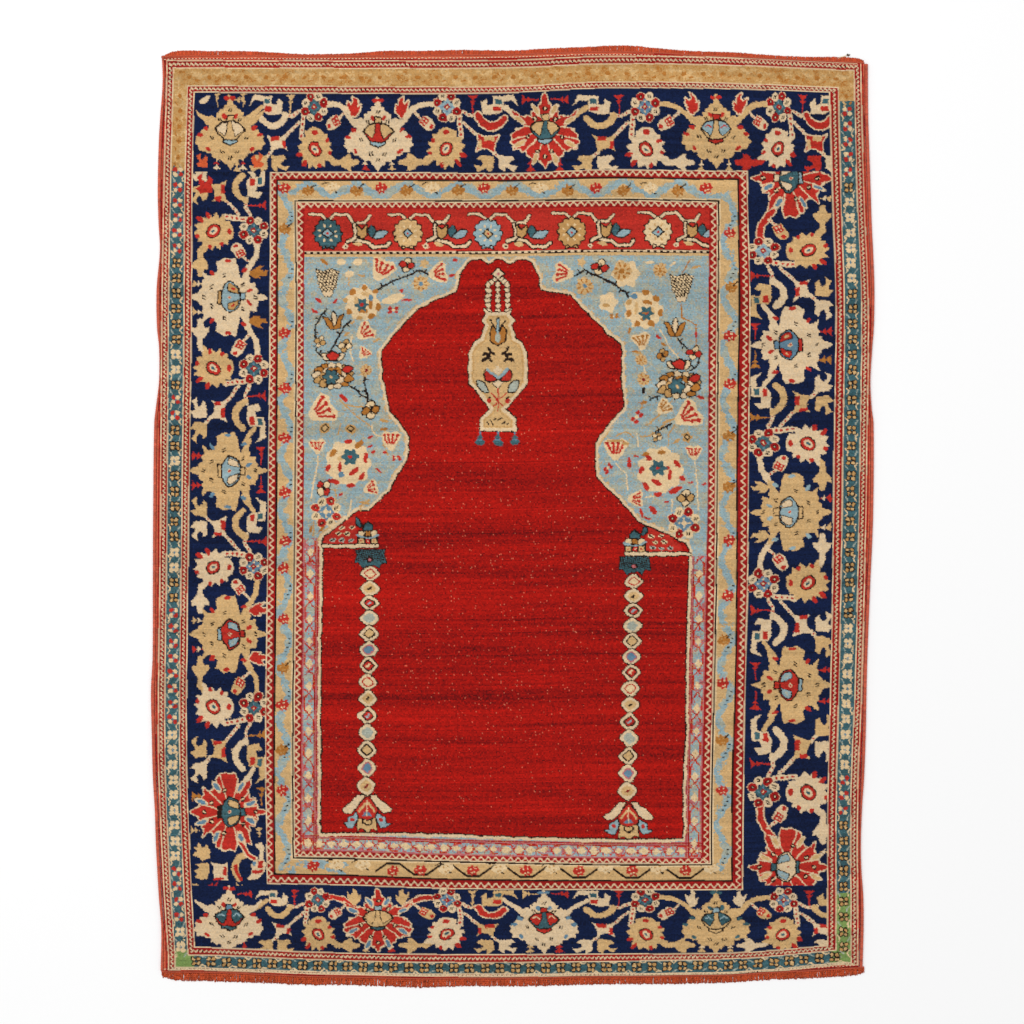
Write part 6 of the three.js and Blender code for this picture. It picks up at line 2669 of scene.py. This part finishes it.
@dataclass
class EndStitches:
    """Running stitches of pale thread along one end of the cloth."""

    pitch: float = 0.0064
    long: float = 0.0042
    thick: float = 0.0007
    inset: float = 0.0035

    def build(self, name: str, upper: bool, outline: RugOutline) -> bpy.types.Object:
        """Makes the stitches: short flat beads of thread in a row.

        Args:
            name: the object's name.
            upper: whether it is the upper end.
            outline: the cloth's outline.

        Returns:
            The stitches.
        """
        dice = np.random.default_rng(SEED + 9 + int(upper))
        x = np.arange(-0.64, 0.64, self.pitch)
        sign = 1.0 if upper else -1.0
        y = outline.end(1 if upper else 3, x) - sign * (self.inset + dice.normal(0, 0.0003, len(x)))
        turn = np.arange(6) * np.pi / 3
        share = np.array([-0.5, -0.3, 0.3, 0.5])
        girth = np.array([0.35, 1.0, 1.0, 0.35]) * self.thick
        lean = dice.normal(0, 0.08, len(x))
        px = x[:, None, None] + (share * self.long)[None, :, None] + 0 * turn
        py = y[:, None, None] + lean[:, None, None] * (share * self.long)[None, :, None] + girth[None, :,
            None] * np.cos(turn)
        pz = 0.0047 + girth[None, :, None] * np.sin(turn) + 0 * px
        points = np.stack([px, py, pz], axis=-1)
        k, row, side = np.meshgrid(np.arange(len(x)), np.arange(3), np.arange(6), indexing="ij")
        first = (k * 4 + row) * 6
        after = (side + 1) % 6
        faces = np.stack([first + side, first + after, first + 6 + after, first + 6 + side],
            axis=-1).reshape(-1, 4)
        patch = Patch(name)
        patch.add(points, faces[:, ::-1], to_linear((232, 206, 170)))
        for stitch in range(len(x)):
            start = stitch * 24
            patch.loose.append([start + side for side in range(6)])
            patch.loose.append([start + 18 + side for side in range(6)][::-1])
        made = patch.build()
        made.data.materials.append(WoolFinish(f"{name}_thread", grain=0.08).material())
        return made


@dataclass
class ThreadLoop:
    """The loop of pale thread at the upper right, and its small brown tuft."""

    thick: float = 0.0008
    turns: int = 24

    def build(self) -> list[bpy.types.Object]:
        """Makes the thread, a round section along an arch, and the tuft, a bundle of short strands.

        Returns:
            The thread and the tuft.
        """
        path = [(0.598, 0.8385), (0.5985, 0.8425), (0.603, 0.8458), (0.609, 0.8468), (0.6155, 0.849)]
        share = np.linspace(0, 1, self.turns)
        stops = np.linspace(0, 1, len(path))
        x = np.interp(share, stops, [p[0] for p in path])
        y = np.interp(share, stops, [p[1] for p in path])
        turn = np.arange(6) * np.pi / 3
        px = x[:, None] + 0 * turn
        py = y[:, None] + self.thick * np.cos(turn)
        pz = self.thick + self.thick * np.sin(turn) + 0 * px
        points = np.stack([px, py, pz], axis=-1)
        row, side = np.meshgrid(np.arange(self.turns - 1), np.arange(6), indexing="ij")
        after = (side + 1) % 6
        faces = np.stack([row * 6 + side, row * 6 + after, row * 6 + 6 + after, row * 6 + 6 + side], axis=-1)
        patch = Patch("thread_loop")
        patch.add(points, faces.reshape(-1, 4)[:, ::-1], to_linear((214, 190, 152)))
        patch.loose.append(list(range(6)))
        patch.loose.append(list(range((self.turns - 1) * 6, self.turns * 6))[::-1])
        thread = patch.build()
        thread.data.materials.append(WoolFinish("loop_cotton", grain=0.1).material())
        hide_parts("hanging_loop")
        return [thread, self.tuft()]

    def tuft(self) -> bpy.types.Object:
        """The brown tuft: thirty short strands that fan out from a knot.

        Returns:
            The tuft.
        """
        dice = np.random.default_rng(SEED + 12)
        count = 30
        angle = dice.random(count) * 2 * np.pi
        reach = 0.0022 + dice.random(count) * 0.002
        t = np.linspace(0, 1, 4)
        x = 0.618 + np.cos(angle)[:, None] * reach[:, None] * t
        y = 0.850 + np.sin(angle)[:, None] * reach[:, None] * t * 0.85
        turn = np.arange(3) * 2 * np.pi / 3 + np.pi / 2
        girth = (0.0006 - 0.0003 * t)[None, :, None]
        px = x[..., None] - girth * np.cos(turn) * np.sin(angle)[:, None, None]
        py = y[..., None] + girth * np.cos(turn) * np.cos(angle)[:, None, None]
        lift = (dice.random(count) * 0.0009)[:, None, None] * (1 - 0.4 * t)[None, :, None]
        pz = lift + girth * (1 + np.sin(turn))
        points = np.stack([px, py, pz], axis=-1)
        k, row, side = np.meshgrid(np.arange(count), np.arange(3), np.arange(3), indexing="ij")
        first = (k * 4 + row) * 3
        after = (side + 1) % 3
        faces = np.stack([first + side, first + after, first + 3 + after, first + 3 + side],
            axis=-1).reshape(-1, 4)
        patch = Patch("loop_tuft")
        patch.add(points, faces[:, ::-1], to_linear((96, 66, 44)))
        for strand in range(count):
            start = strand * 12
            patch.loose.append([start, start + 1, start + 2])
            patch.loose.append([start + 11, start + 10, start + 9])
        made = patch.build()
        made.data.materials.append(WoolFinish("tuft_wool", grain=0.2).material())
        return made


@dataclass
class Studio:
    """The pale floor, soft light and camera straight above the rug."""

    lens: float = 85.0
    sensor: float = 36.0
    seen: float = 1024 * SQUARE
    middle: tuple[float, float] = (-0.0015, 0.0083)

    def floor(self) -> None:
        """A plain pale floor, just under the rug."""
        bpy.ops.mesh.primitive_plane_add(size=8, location=(0, 0, 0))
        made = bpy.context.object
        made.name = "studio_floor"
        made.data.transform(made.matrix_world)
        made.location = (0, 0, 0)
        paint = bpy.data.materials.new("pale_floor")
        paint.use_nodes = True
        shader = paint.node_tree.nodes["Principled BSDF"]
        shader.inputs["Base Color"].default_value = (0.95, 0.95, 0.95, 1)
        shader.inputs["Roughness"].default_value = 0.9
        shader.inputs["Specular IOR Level"].default_value = 0.1
        made.data.materials.append(paint)

    def light(self) -> None:
        """Soft light from all round, and a large soft lamp above the upper left."""
        world = bpy.data.worlds.new("studio_light")
        world.use_nodes = True
        world.node_tree.nodes["Background"].inputs["Color"].default_value = (1, 1, 1, 1)
        world.node_tree.nodes["Background"].inputs["Strength"].default_value = 0.84
        bpy.context.scene.world = world
        data = bpy.data.lights.new("soft_lamp", "AREA")
        data.shape = "SQUARE"
        data.size = 2.5
        data.energy = 66.0
        lamp = bpy.data.objects.new("soft_lamp", data)
        lamp.location = (-1.8, 2.0, 3.8)
        aim = Vector((0, 0, 0)) - lamp.location
        lamp.rotation_euler = aim.to_track_quat("-Z", "Y").to_euler()
        bpy.context.scene.collection.objects.link(lamp)

    def camera(self) -> None:
        """The camera, looking straight down with the rug's upper end up."""
        data = bpy.data.cameras.new("camera")
        data.lens = self.lens
        data.sensor_width = self.sensor
        data.dof.use_dof = False
        made = bpy.data.objects.new("camera", data)
        away = self.seen * self.lens / self.sensor
        made.location = (self.middle[0], self.middle[1], away + 0.005)
        bpy.context.scene.collection.objects.link(made)
        bpy.context.scene.camera = made


def main() -> None:
    logging.basicConfig(level=logging.INFO, format="%(message)s")
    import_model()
    studio = Studio()
    studio.camera()
    outline = RugOutline()
    chart = Chart(outline)
    Stripes().weave(chart)
    OuterBorder().weave(chart)
    MainBorder().weave(chart)
    FlowerBorder().weave(chart)
    RosePanel().weave(chart)
    niche = Niche()
    niche.weave(chart)
    InnerGround().weave(chart)
    niche.fittings(chart)
    LOG.info("chart of %d by %d knots", COLUMNS, ROWS)
    tones = YarnTones(chart)
    bands = Pile().build(chart, tones, outline)
    LOG.info("pile in %d bands", len(bands))
    weave = GroundWeave().build(tones, outline)
    edges = [
        Overcasting().build("overcast_left", "selvedge_left", "overcast_left", True, outline),
        Overcasting().build("overcast_right", "selvedge_right", "overcast_right", False, outline),
    ]
    LOG.info("ground weave and overcast edges")
    fringes = [
        WarpFringe().build("upper_warp_ends", "fringe_top", "warp_ends_top", True, outline),
        WarpFringe().build("lower_warp_ends", "fringe_bottom", "warp_ends_bottom", False, outline),
    ]
    stitches = [EndStitches().build("upper_stitches", True, outline),
        EndStitches().build("lower_stitches", False, outline)]
    loop = ThreadLoop().build()
    LOG.info("fringes, stitches and thread loop")
    studio.floor()
    studio.light()
    bpy.context.scene.view_settings.view_transform = "Standard"


if __name__ == "__main__":
    main()
